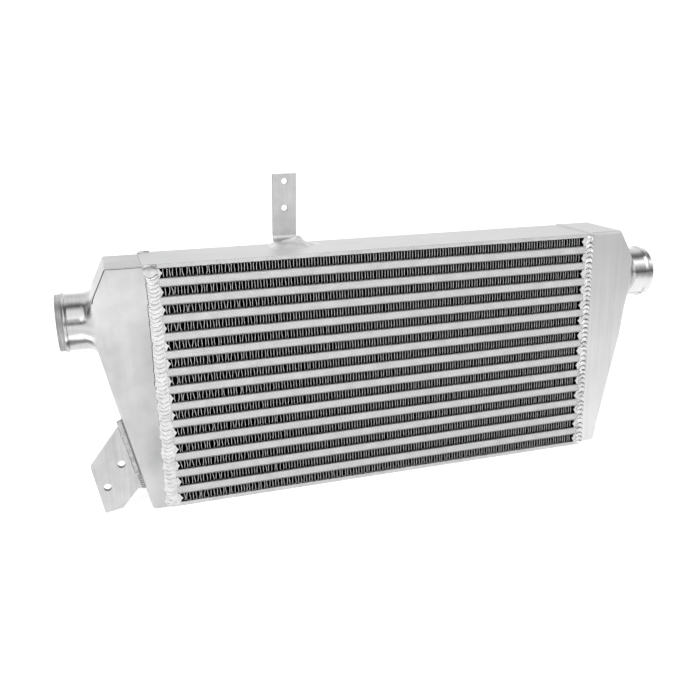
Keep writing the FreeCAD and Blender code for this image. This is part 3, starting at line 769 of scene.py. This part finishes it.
def ringsRound(outer, points, faces, depth, flared):
    # rings from the grid's window in to the pipe; gives the innermost one
    half = tank["half"] - depth
    windowRow = rowWhere(1, ringLook["lowest"])
    previous = outer
    for ring in range(1, ringLook["rings"] + 1):
        share = 0.5 - 0.5 * math.cos(math.pi * ring / ringLook["rings"])
        current = []
        for number in outer:
            _, y, z = points[number]
            angle = math.atan2(z - pipeZ, y)
            toY, toZ = math.cos(angle) * tank["pipe"], pipeZ + math.sin(angle) * tank["pipe"]
            newY, newZ = y + (toY - y) * share, z + (toZ - z) * share
            rim = max(rimAt(windowRow + 1, newZ, 0.0) - depth, rimLook["least"])
            x = reachAt(newZ, depth + rimInset(newY, half, rim)) + (flareAt(newY, newZ) if flared else 0.0)
            current.append(len(points))
            points.append((x, newY, newZ))
        for k in range(len(outer)):
            j = (k + 1) % len(outer)
            faces.append((previous[k], previous[j], current[j], current[k]))
        previous = current
    return previous


def tankShell(side):
    # an outer and an inner skin, each a grid with rings round the pipe, joined at the pipe and at the mouth
    points, faces, shaded, loops = [], [], [], []
    r0, r1 = rowWhere(1, ringLook["lowest"]), rowWhere(2, ringLook["highest"])
    c0, c1 = stations.index(-ringLook["half"]), stations.index(ringLook["half"])
    lastRow, lastCol = len(tankRows) - 1, len(stations) - 1
    border = ([(r0, c) for c in range(c0, c1)] + [(r, c1) for r in range(r0, r1)]
              + [(r1, c) for c in range(c1, c0, -1)] + [(r, c0) for r in range(r1, r0, -1)])
    for depth, flared in ((0.0, True), (tank["wall"], False)):
        narrower = tank["half"] - depth
        grid = {}

        def vertex(row, col):
            if (row, col) not in grid:
                grid[row, col] = len(points)
                points.append(tankPoint(row, stations[col] * narrower / tank["half"], depth, flared))
            return grid[row, col]

        for row in range(lastRow):
            for col in range(lastCol):
                if r0 <= row < r1 and c0 <= col < c1:
                    continue
                if flared and inSeam(side, row, col):
                    shaded.append(len(faces))
                faces.append((vertex(row, col), vertex(row, col + 1), vertex(row + 1, col + 1),
                              vertex(row + 1, col)))
        faces.append(tuple(vertex(row, 0) for row in range(len(tankRows))))
        faces.append(tuple(vertex(row, lastCol) for row in range(len(tankRows))))
        pipeRing = ringsRound([vertex(*place) for place in border], points, faces, depth, flared)
        mouth = ([vertex(0, c) for c in range(lastCol + 1)]
                 + [vertex(lastRow, c) for c in range(lastCol, -1, -1)])
        loops.append((pipeRing, mouth))
    for first, second in zip(*loops):
        for k in range(len(first)):
            j = (k + 1) % len(first)
            faces.append((first[k], first[j], second[j], second[k]))
    placed = [(outward[side] * (tank["coreEnd"] + x + moreReach(side, x, z)), y, z + tank["lifts"][side])
              for x, y, z in points]
    nodes = [f"{side}_tank_{part}" for part in ("front_plate", "back_plate", "wrap")]
    makePiece(f"{side}Tank", placed, faces, f"{side}TankSheet", nodes, "tank", 70.0, weighted=True,
              shaded=shaded)


tankShell("left")
tankShell("right")
print("tanks made")


# Hose spigots: a turned tube with a rolled bead and a rounded lip
spigot = dict(root=44.0, rootRun=(4.0, 8.0), lengths=dict(left=24.4, right=30.0), outer=25.4, wall=2.0,
              beadBack=7.0, beadHalf=2.6, beadRise=1.7, beadInside=0.7, beadStep=0.4, beadGap=0.3,
              tubeStep=2.5, lipTurns=8, turns=160, satinFrom=0.6)


def spigotPiece(side):
    look = spigot
    end = tank["nose"] + look["lengths"][side]
    bead = end - look["beadBack"]
    inner = look["outer"] - look["wall"]

    def swell(x, rise):
        away = abs(x - bead) / look["beadHalf"]
        return rise * (0.5 + 0.5 * math.cos(math.pi * away)) if away < 1 else 0.0

    run = [look["root"], look["root"] + look["rootRun"][0]]
    run += steps(look["root"] + look["rootRun"][1], bead - look["beadHalf"] - look["beadGap"],
                 look["tubeStep"])
    run += steps(bead - look["beadHalf"], bead + look["beadHalf"], look["beadStep"])
    section = [(x, look["outer"] + swell(x, look["beadRise"])) for x in run]
    for angle in (math.pi * n / look["lipTurns"] for n in range(look["lipTurns"] + 1)):
        section.append((end - look["wall"] / 2 + math.sin(angle) * look["wall"] / 2,
                        look["outer"] - look["wall"] / 2 + math.cos(angle) * look["wall"] / 2))
    section += [(x, inner + swell(x, look["beadRise"] * look["beadInside"])) for x in run[::-1]]
    points, faces, satin = [], [], []
    count, turns = len(section), look["turns"]
    for turn in range(turns):
        angle = 2 * math.pi * turn / turns
        for x, radius in section:
            points.append((outward[side] * (tank["coreEnd"] + x), radius * math.cos(angle),
                           pipeZ + tank["lifts"][side] + radius * math.sin(angle)))
    for turn in range(turns):
        after = (turn + 1) % turns
        for k in range(count):
            j = (k + 1) % count
            # the left lip was left satin past the bead
            if side == "left" and min(section[k][0], section[j][0]) > bead + look["satinFrom"]:
                satin.append(len(faces))
            faces.append((turn * count + k, turn * count + j, after * count + j, after * count + k))
    makePiece(f"{side}Spigot", points, faces, f"{side}Pipe", [f"{side}_spigot"], "spigot", 60.0,
              shaded=satin, second="lipSatin")


spigotPiece("left")
spigotPiece("right")
print("spigots made")


# Long seam welds, laid as overlapping puddles
seamShape = dict(ends=(1.6, 229.2), over=dict(front=1.7, back=2.8), spare=8.0, columns=22, rowStep=0.36,
                 taper=2.5, tip=0.04, swell=(9.0, 2.0), bowMiddle=0.4, archPower=0.75, archShare=0.86,
                 keptUnder=0.6, base=34.5, baseTilt=0.5, tiltHalf=5.5, sunk=0.2, softFrom=36.1, softRoom=0.8,
                 gapReach=0.85, gapFree=2.5, arcIn=0.4, arcBelow=3.0, craterSize=1.3,
                 root=((4.32, 33.2), (-4.32, 33.6)))
# end is the last puddle, a round blob with rings, a crater or a shaded lower edge
seamLook = dict(
    left=dict(metal="weldSilver", seed=5, width=12.0, rise=2.3, pitch=(3.2, 4.8), bow=-3.8, ripple=0.8,
              lean=0.62, gap=0.0, undercutShadeSpan=(118.0, 219.0),
              centres=((0.0, 0.0), (60.0, -0.5), (120.0, -0.8), (200.0, -1.3), (216.0, -1.1), (230.0, 0.2)),
              end=dict(x=0.4, z=225.4, radius=6.7, wide=1.06, rise=1.7, ring=0.03, gap=3.4, crater=0.0,
                       arc=0.32)),
    right=dict(metal="weldDusky", seed=9, width=9.2, rise=2.3, pitch=(4.2, 5.8), bow=3.4, ripple=2.4,
               lean=1.7, gap=0.08, undercutShadeSpan=(0.0, 0.0), centres=((0.0, -0.4), (120.0, 0.0), (230.0, 1.0)),
               end=dict(x=1.2, z=225.6, radius=4.4, wide=1.0, rise=2.8, ring=0.2, gap=2.4, crater=2.8,
                        arc=0.0)))
backSeed = 50


def puddles(rng, low, high, pitch):
    # where each puddle starts, with its own width, height and sideways shift
    spots, z = [], low
    while z < high:
        spots.append((z, rng.uniform(0.92, 1.06), rng.uniform(0.75, 1.25), rng.uniform(-0.3, 0.3)))
        z += rng.uniform(*pitch)
    spots.append((z, 1.0, 1.0, 0.0))
    return spots


def puddleAt(spots, q):
    # the width, height and shift of the puddle at a place along the bead, and how far into it the place is
    number = max(k for k, spot in enumerate(spots) if spot[0] <= q)
    start, wide, tall, shift = spots[number]
    return wide, tall, shift, (q - start) / (spots[number + 1][0] - start)


def crestOf(share, lean=1.0):
    # the skin of a puddle, above and below its middle level
    return math.sqrt(max(4 * share ** lean * (1 - share ** lean), 0.0)) - 0.6


def seamWeld(side, face):
    look, end, shape = seamLook[side], seamLook[side]["end"], seamShape
    low, high = shape["ends"]
    rng = random.Random(look["seed"] + (0 if face == "front" else backSeed))
    spots = puddles(rng, low - shape["spare"], high + shape["spare"], look["pitch"])
    toward = -1 if face == "front" else 1
    columns = shape["columns"]
    topEnd = high + (shape["over"][face] if side == "left" else 0.0)
    rows = steps(low, topEnd, shape["rowStep"])
    points, gaps = [], set()
    for z in rows:
        middle = betweenKnots(look["centres"], z)
        swellFrom, swellTo = (end["z"] - reach for reach in shape["swell"])
        swollen = 1 + (end["wide"] - 1) * smoothStep(z, swellFrom, swellTo)
        taper = min(1.0, math.sqrt(max(min(z - low, topEnd - z), 0.0) / shape["taper"]))
        # the back welds draw in to a round tip where they run over the top
        past = max(z - high, 0.0) / max(topEnd - high, 0.01) if face == "back" else 0.0
        for column in range(columns + 1):
            u = column / columns * 2 - 1
            wide, tall, shift, share = puddleAt(spots, z + look["bow"] * (u * u - shape["bowMiddle"]))
            half = look["width"] / 2 * wide * swollen * math.sqrt(max(1 - past ** 2, shape["tip"]))
            arch = (1 - u * u) ** shape["archPower"] * look["rise"] * shape["archShare"] * taper
            height = arch + look["ripple"] * tall * crestOf(share, look["lean"]) * (1 - u ** 4) * taper
            x = middle + shift + u * half
            away = math.hypot(x - end["x"], z - end["z"])
            if away < end["radius"]:
                dome = end["rise"] * math.sqrt(1 - (away / end["radius"]) ** 2)
                dome += end["ring"] * math.cos(2 * math.pi * away / end["gap"]) * min(1.0, dome)
                dome -= end["crater"] * math.exp(-(away / shape["craterSize"]) ** 2)
                height = max(height * shape["keptUnder"], dome)
            # painted shade between the puddles, and under the blob's lower edge
            between = share < look["gap"] and abs(u) < shape["gapReach"] and away > shape["gapFree"]
            fromArc = abs(away - end["radius"] + shape["arcIn"])
            under = fromArc < end["arc"] and z < end["z"] - shape["arcBelow"]
            if between or under:
                gaps.add(len(points))
            base = shape["base"] - shape["baseTilt"] * min(max(x / shape["tiltHalf"], -1.0), 1.0)
            stand = base + max(height, -shape["sunk"])
            if stand > shape["softFrom"]:
                stand = shape["softFrom"] + shape["softRoom"] * math.tanh((stand - shape["softFrom"])
                                                                          / shape["softRoom"])
            points.append((outward[side] * (tank["coreEnd"] + x), toward * stand, z))
        for x, y in shape["root"]:
            points.append((outward[side] * (tank["coreEnd"] + x), toward * y, z))
    count = columns + 1 + len(shape["root"])
    # between these heights the column by the weld's outer edge takes painted shade, as an undercut's shadow
    lowCut, highCut = look["undercutShadeSpan"]
    shaded = [row * count + k for row in range(len(rows) - 1) for k in range(count)
              if row * count + k in gaps or (k == columns - 1 and lowCut < rows[row] < highCut)]
    makePiece(f"{side}{face.title()}Seam", points, tubeFaces(len(rows), count), look["metal"],
              [f"{side}_{face}_weld"], "weld", 80.0, shaded=shaded)


for side in ("left", "right"):
    for face in ("front", "back"):
        seamWeld(side, face)
print("seam welds made")


# Brackets
topBracket = dict(x=-83.9, back=34.0, foot=27.5, strip=3.0, bend=7.0, height=66.8, width=23.0, lean=2.7,
                  base=230.8, hole=2.95, holes=(59.8, 34.3), drillRun=(-8.0, 5.0), edge=0.45, crisp=0.01,
                  station=4.0)
lowerBracket = dict(slope=0.21153, foot=17.5, weldTop=92.0, weldFoot=20.5,
                    corners=((3.5, 86.0), (40.5, 48.8), (42.1, 1.9), (25.6, 4.9), (6.7, 22.0)),
                    rounds=(0.3, 1.0, 1.2, 0.8, 1.0, 2.0, 0.3), holes=((13.7, 47.9), (32.4, 27.0)), hole=3.6,
                    drillOver=3.0, front=-30.0, thick=5.0, edge=0.5)
drillLook = dict(sides=48, slack=0.25, bevelSegments=2, bevelFrom=40.0)


def drilled(name, item, drills, edge):
    # holes cut through, then every crisp edge broken
    for k, (x, z, radius, front, back) in enumerate(drills):
        ring = [Vector((x + radius * math.cos(a), z + radius * math.sin(a)))
                for a in (2 * math.pi * n / drillLook["sides"] for n in range(drillLook["sides"]))]
        pin = plainObject(f"drill{k}", *drawOut(ring, [front, back], lambda s, a, b: (a, s, b)))
        cut = item.modifiers.new(f"hole{k}", "BOOLEAN")
        cut.operation = "DIFFERENCE"
        cut.solver = "EXACT"
        cut.object = pin
    bevel = item.modifiers.new("edges", "BEVEL")
    bevel.width = edge * mm
    bevel.segments = drillLook["bevelSegments"]
    bevel.limit_method = "ANGLE"
    bevel.angle_limit = math.radians(drillLook["bevelFrom"])
    bpy.context.view_layer.update()
    shaped = item.evaluated_get(bpy.context.evaluated_depsgraph_get())
    piece = bpy.data.objects.new(name, bpy.data.meshes.new_from_object(shaped))
    for k in range(len(drills)):
        bpy.data.objects.remove(bpy.data.objects[f"drill{k}"])
    bpy.data.objects.remove(item)
    return piece


def inDrill(face, drills):
    # whether a face is part of a hole's wall, which takes the dull finish with painted shade
    x, z = face.center.x / mm, face.center.z / mm
    near = any(math.hypot(x - drillX, z - drillZ) < radius + drillLook["slack"]
               for drillX, drillZ, radius, *_ in drills)
    return near and abs(face.normal.y) < 0.9


def topBracketPiece():
    look = topBracket
    bendTop = look["strip"] + look["bend"]
    corners = [(0, look["height"]), (-look["strip"], look["height"]), (-look["strip"], look["strip"]),
               (-look["foot"], look["strip"]), (-look["foot"], 0), (0, 0)]
    crisp = look["crisp"]
    outline = roundedOutline(corners, [crisp, crisp, look["bend"], crisp, crisp, bendTop], 10)

    def place(s, a, b):
        lean = look["lean"] * max(0.0, b - bendTop) / (look["height"] - bendTop)
        return look["x"] + s + lean, look["back"] + a, look["base"] + b

    # the crisp corners are one point each
    outline = [p for k, p in enumerate(outline) if (p - outline[k - 1]).length > 0.05]
    across = steps(-look["width"] / 2, look["width"] / 2, look["station"])
    item = plainObject("strip", *drawOut(outline, across, place))
    ends = [look["back"] + reach for reach in look["drillRun"]]
    drills = [(look["x"] + look["lean"] * (z - bendTop) / (look["height"] - bendTop), look["base"] + z,
               look["hole"], *ends) for z in look["holes"]]
    piece = drilled("topBracketStrip", item, drills, look["edge"])
    dressPiece(piece, "bracketStrip", ["top_bracket"], "bracket", 35.0, weighted=True)
    # the hole walls and the strip's cut sides take the dull finish, with painted shade along the sides
    paintFaces(piece, "dullWallAndShade", lambda face: inDrill(face, drills) or abs(face.normal.x) > 0.8)


def besideTank(out, z):
    # X and Z of a place outward from the left tank's lower slant, at a height above the tank's underside
    look = lowerBracket
    return -(tank["coreEnd"] + look["foot"] + look["slope"] * z + out), z + tank["lifts"]["left"]


def lowerBracketPiece():
    look = lowerBracket
    corners = [(0.0, look["weldTop"]), *look["corners"], (0.0, look["weldFoot"])]
    outline = roundedOutline([besideTank(*corner) for corner in corners], look["rounds"], 3)
    front, back = look["front"], look["front"] + look["thick"]
    item = plainObject("plate", *drawOut(outline, [front, back], lambda s, a, b: (a, s, b)))
    ends = (front - look["drillOver"], back + look["drillOver"])
    drills = [(*besideTank(*hole), look["hole"], *ends) for hole in look["holes"]]
    piece = drilled("lowerBracketPlate", item, drills, look["edge"])
    dressPiece(piece, "bracketStrip", ["lower_bracket"], "bracket", 35.0, weighted=True)
    paintFaces(piece, "dullWallAndShade", lambda face: inDrill(face, drills))


topBracketPiece()
lowerBracketPiece()
print("brackets made")


# Welds that hold the brackets
moundLook = dict(left=-23.0, right=40.0, back=31.0, front=12.0, step=0.7, foot=3.7, skirt=(6.0, 7.5),
                 fades=dict(left=9.0, right=12.0, front=1.0, back=8.0), sole=2.0, low=0.4,
                 lumps=((10.5, 17.0, 4.0, 6.5, 9.0), (21.0, 10.0, 1.6, 9.0, 8.0), (1.0, 19.0, 2.6, 9.0, 7.0)),
                 spots=((5.0, -1.0, 0.8, 1.6), (8.5, -0.8, 1.0, 1.6), (14.5, 0.6, 1.1, 1.9),
                        (13.8, 15.0, 0.8, 1.8)),
                 fan=0.4, fanFrom=10.0, fanLength=14.0, fanGrow=(8.0, 1.5), rays=6.0, rough=0.05,
                 grainSize=3.0, hollow=dict(depth=0.8, right=(1.0, 6.0), left=(0.5, 4.0), behind=(5.0, 10.0)))
edgeOfFoot = topBracket["back"] - topBracket["foot"]


def moundHeight(x, y):
    # x from the strip's middle, y from the end of its foot; highest at the strip's right side
    look, halfWidth = moundLook, topBracket["width"] / 2
    aside, ahead = max(abs(x) - halfWidth, 0.0), max(-y, 0.0)
    height = look["foot"] * math.exp(-(aside / look["skirt"][0]) ** 2 - (ahead / look["skirt"][1]) ** 2)
    for px, py, tall, sizeX, sizeY in look["lumps"]:
        height += tall * math.exp(-((x - px) / sizeX) ** 2 - ((y - py) / sizeY) ** 2)
    for px, py, tall, size in look["spots"]:
        height += tall * math.exp(-((x - px) ** 2 + (y - py) ** 2) / size ** 2)
    # folds fan out from under the strip
    turn, away = math.atan2(y - look["fanFrom"], x), math.hypot(x, y - look["fanFrom"])
    fold = noise.noise(Vector((turn * look["rays"], away / look["fanLength"], 2.0)))
    height += fold * look["fan"] * min(away / look["fanGrow"][0], look["fanGrow"][1])
    grainSpot = Vector((x / look["grainSize"], (y + edgeOfFoot) / look["grainSize"], 4.0))
    height += noise.noise(grainSpot) * look["rough"]
    # it lies lower over the middle of the foot
    hollow = look["hollow"]
    sunk = smoothStep(halfWidth - x, *hollow["right"]) * smoothStep(x + halfWidth, *hollow["left"])
    return height - sunk * smoothStep(y, *hollow["behind"]) * hollow["depth"]


def topBracketWeld():
    # a smooth mound melted over the foot's front and sides
    look, strip, fades = moundLook, topBracket, moundLook["fades"]
    across = steps(look["left"], look["right"], look["step"])
    front, back = edgeOfFoot - look["front"], look["back"]
    along = steps(front, back, look["step"])
    points, faces = [], []
    for y in along:
        for x in across:
            fade = smoothStep(x, look["left"], look["left"] + fades["left"])
            fade *= 1 - smoothStep(x, look["right"] - fades["right"], look["right"])
            fade *= (smoothStep(y, front, edgeOfFoot - fades["front"])
                     * (1 - smoothStep(y, back - fades["back"], back)))
            height = moundHeight(x, y - edgeOfFoot)
            points.append((strip["x"] + x, y, strip["base"] - look["low"] + height * fade))
    count, rows = len(across), len(along)
    for row in range(rows - 1):
        for k in range(count - 1):
            a = row * count + k
            faces.append((a, a + 1, a + 1 + count, a + count))
    skin, under = list(faces), len(points)
    points += [(x, y, strip["base"] - look["sole"]) for x, y, _ in points]
    border = list(range(count)) + [row * count + count - 1 for row in range(1, rows)]
    border += [(rows - 1) * count + k for k in range(count - 2, -1, -1)]
    border += [row * count for row in range(rows - 2, 0, -1)]
    for k, here in enumerate(border):
        after = border[(k + 1) % len(border)]
        faces.append((here, after, after + under, here + under))
    faces += [tuple(under + k for k in face) for face in skin]
    makePiece("topBracketBead", points, faces, "weldSoft", ["top_bracket_weld"], "weld", 80.0)


# knots are (height, half width, half height); a few strips of faces are shaded in the run, and every few
# ripples in the tail
beadLook = dict(
    run=dict(knots=((37.0, 3.6, 2.0), (45.0, 4.2, 2.3), (60.0, 3.8, 2.0), (76.0, 4.2, 2.3), (91.0, 3.6, 2.0)),
             out=1.6, ripple=0.34, pitch=(6.5, 9.0), bow=3.0),
    tail=dict(knots=((21.5, 2.2, 1.2), (28.0, 2.8, 1.5), (36.0, 3.0, 1.5)), out=0.8, ripple=0.9,
              pitch=(1.7, 2.3), bow=0.3),
    runShaded=(2, 3, 8), tailShaded=4, forward=0.1, up=(-0.35, -0.94, 0), around=20, step=0.5, smoothings=4,
    spare=5.0, ends=2.0, seed=23)


def laidBead(part, rng):
    # a round bead along the lower bracket's joint, smoothed and rippled
    look, own = beadLook, beadLook[part]
    knots = []
    for z, wide, tall in own["knots"]:
        placeX, placeZ = besideTank(own["out"], z)
        knots.append((Vector((placeX, lowerBracket["front"] - look["forward"], placeZ)), wide, tall))
    line = []
    for (spot, wide, tall), (toSpot, toWide, toTall) in zip(knots, knots[1:]):
        count = max(1, round((toSpot - spot).length / look["step"]))
        for t in (n / count for n in range(count)):
            line.append([spot.lerp(toSpot, t), wide + (toWide - wide) * t, tall + (toTall - tall) * t])
    line.append(list(knots[-1]))
    for _ in range(look["smoothings"]):
        middles = [(line[k - 1][0] + line[k][0] * 2 + line[k + 1][0]) / 4 for k in range(1, len(line) - 1)]
        for k, spot in enumerate(middles, start=1):
            line[k][0] = spot
    runs = [0.0]
    for k in range(1, len(line)):
        runs.append(runs[-1] + (line[k][0] - line[k - 1][0]).length)
    spots = puddles(rng, -look["spare"], runs[-1] + look["spare"], own["pitch"])
    points = []
    for k, (spot, wide, tall) in enumerate(line):
        ahead = (line[min(k + 1, len(line) - 1)][0] - line[max(k - 1, 0)][0]).normalized()
        across = ahead.cross(Vector(look["up"])).normalized()
        lift = across.cross(ahead).normalized()
        near = min(1.0, (min(runs[k], runs[-1] - runs[k]) + 0.05) / look["ends"])
        taper = math.sqrt(near * (2 - near))
        for n in range(look["around"]):
            angle = 2 * math.pi * n / look["around"]
            fat, high, _, share = puddleAt(spots, runs[k] + own["bow"] * math.cos(angle) ** 2)
            swell = taper * (1 + own["ripple"] * high * crestOf(share) * 0.5)
            points.append(spot + across * (wide * fat * swell * math.cos(angle))
                          + lift * (tall * swell * math.sin(angle)))
    return points, tubeFaces(len(line), look["around"])


def lowerBracketWeld():
    # one smooth run down the joint, then a short tail of close ripples
    look = beadLook
    rng = random.Random(look["seed"])
    run, tail = laidBead("run", rng), laidBead("tail", rng)
    shaded = [k for k in range(len(run[1]) - 2) if k % look["around"] in look["runShaded"]]
    shaded += [len(run[1]) + k for k in range(len(tail[1]) - 2)
               if k // look["around"] % look["tailShaded"] == 0]
    makePiece("lowerBracketBead", *joined([run, tail]), "weldGrey", ["lower_bracket_weld"], "weld", 80.0,
              shaded=shaded, second="dullWallAndShade")


topBracketWeld()
lowerBracketWeld()
print("bracket welds made")


# Joints across the top that were welded and ground flush. Their tops are (distance out from the core's end,
# height), and the last stretch of an open one takes painted shade as a dark line
groundLook = dict(
    left=dict(tops=((-0.4, 230.85), (3.0, 230.5), (5.4, 229.75), (6.3, 229.75), (6.9, 229.5)), depth=33.6,
              open=True),
    right=dict(tops=((-3.0, 230.75), (-1.2, 230.95), (0.2, 232.0), (1.4, 232.15), (4.5, 231.62)), depth=33.4,
               open=False))
groundShape = dict(thick=1.2, station=2.0, rough=0.1, grainSize=4.0)


def groundJoint(side):
    # a shallow ramp between the cover plate and the tank
    look, shape = groundLook[side], groundShape
    tops = look["tops"]
    under = min(z for _, z in tops) - shape["thick"]
    corners = [(tops[0][0], under), (tops[-1][0], under), *tops[::-1]]
    outline = [Vector((tank["coreEnd"] + x, z)) for x, z in corners]
    across = steps(-look["depth"], look["depth"], shape["station"])
    points, faces = drawOut(outline, across, lambda s, a, b: (outward[side] * a, s, b), shape["rough"],
                            shape["grainSize"])
    shaded = [row * len(outline) + 2 for row in range(len(across) - 1)] if look["open"] else []
    makePiece(f"{side}GroundJoint", points, faces, "coverSheet", [], "weld", 40.0, shaded=shaded,
              second="dullWallAndShade")


groundJoint("left")
groundJoint("right")
print("ground joints made")


# Studio: pale floor, soft light and the camera
studio = dict(floorSize=24.0, floorGrey=0.62, floorCloud=0.01, floorGlow=0.62, floorRough=0.9, roomPower=1.4,
              wallGrey=0.74)
keyLight = dict(place=(-1.2, -1.6, 1.9), target=(0, 0, 0.1), size=3.0, power=24.0)
cameraLook = dict(place=(-0.2585, -0.80128, 0.36764), turn=(72.7464, 0.7398, -19.0444), lens=44.43,
                  sensor=36.0, shift=(-0.06, 0.02))
# brightness of the room by height, from straight ahead over the top to the back wall, in degrees
roomBands = ((-90, 1.3), (-8, 1.1), (0, 0.42), (8, 0.42), (22, 0.85), (34, 1.25), (54, 1.25), (66, 0.62),
             (76, 0.36), (86, 0.36), (92, 0.46), (100, 0.74), (115, 0.82), (140, 0.8), (160, 1.0), (172, 1.2),
             (180, 1.2))


def makeFloor():
    half = studio["floorSize"] / 2
    mesh = bpy.data.meshes.new("floor")
    corners = [(-half, -half, 0), (half, -half, 0), (half, half, 0), (-half, half, 0)]
    mesh.from_pydata(corners, [], [(0, 1, 2, 3)])
    floor = bpy.data.objects.new("floor", mesh)
    scene.collection.objects.link(floor)
    material = bpy.data.materials.new("paleFloor")
    material.use_nodes = True
    tree = material.node_tree
    shader = tree.nodes["Principled BSDF"]
    cloud = addNode(tree, "ShaderNodeTexNoise", {"Scale": 0.6, "Detail": 2.0}).outputs["Fac"]
    middle, cloudy = studio["floorGrey"], studio["floorCloud"]
    tree.links.new(mixColours(tree, cloud, grey(middle - cloudy), grey(middle + cloudy)),
                   shader.inputs["Base Color"])
    shader.inputs["Roughness"].default_value = studio["floorRough"]
    shader.inputs["Emission Color"].default_value = (1, 1, 1, 1)
    shader.inputs["Emission Strength"].default_value = studio["floorGlow"]
    mesh.materials.append(material)


def makeRoom():
    world = bpy.data.worlds.new("studioRoom")
    scene.world = world
    world.use_nodes = True
    tree = world.node_tree
    background = tree.nodes["Background"]
    parts = splitPlace(tree, addNode(tree, "ShaderNodeTexCoord").outputs["Generated"])
    ahead = mathNode(tree, "MULTIPLY", parts["Y"], -1.0)
    share = spread(tree, mathNode(tree, "ARCTAN2", parts["Z"], ahead), -math.pi / 2, math.pi)
    bands = rampOf(tree, share, roomBands, -90, 180, studio["roomPower"])
    # the lens itself sees one plain pale wall; only the metal mirrors the bands
    seen = addNode(tree, "ShaderNodeLightPath").outputs["Is Camera Ray"]
    tree.links.new(mixColours(tree, seen, bands, grey(studio["wallGrey"])), background.inputs["Color"])
    background.inputs["Strength"].default_value = studio["roomPower"]


def makeKeyLight():
    look = keyLight
    light = bpy.data.lights.new("keyLight", "AREA")
    light.shape = "DISK"
    light.size = look["size"]
    light.energy = look["power"]
    item = bpy.data.objects.new("keyLight", light)
    item.location = look["place"]
    item.rotation_euler = (Vector(look["target"]) - Vector(look["place"])).to_track_quat("-Z", "Y").to_euler()
    scene.collection.objects.link(item)


def makeCamera():
    look = cameraLook
    data = bpy.data.cameras.new("camera")
    data.lens = look["lens"]
    data.sensor_width = look["sensor"]
    data.shift_x, data.shift_y = look["shift"]
    camera = bpy.data.objects.new("camera", data)
    camera.location = look["place"]
    camera.rotation_euler = [math.radians(angle) for angle in look["turn"]]
    scene.collection.objects.link(camera)
    scene.camera = camera


makeFloor()
makeRoom()
makeKeyLight()
makeCamera()
print("studio ready")
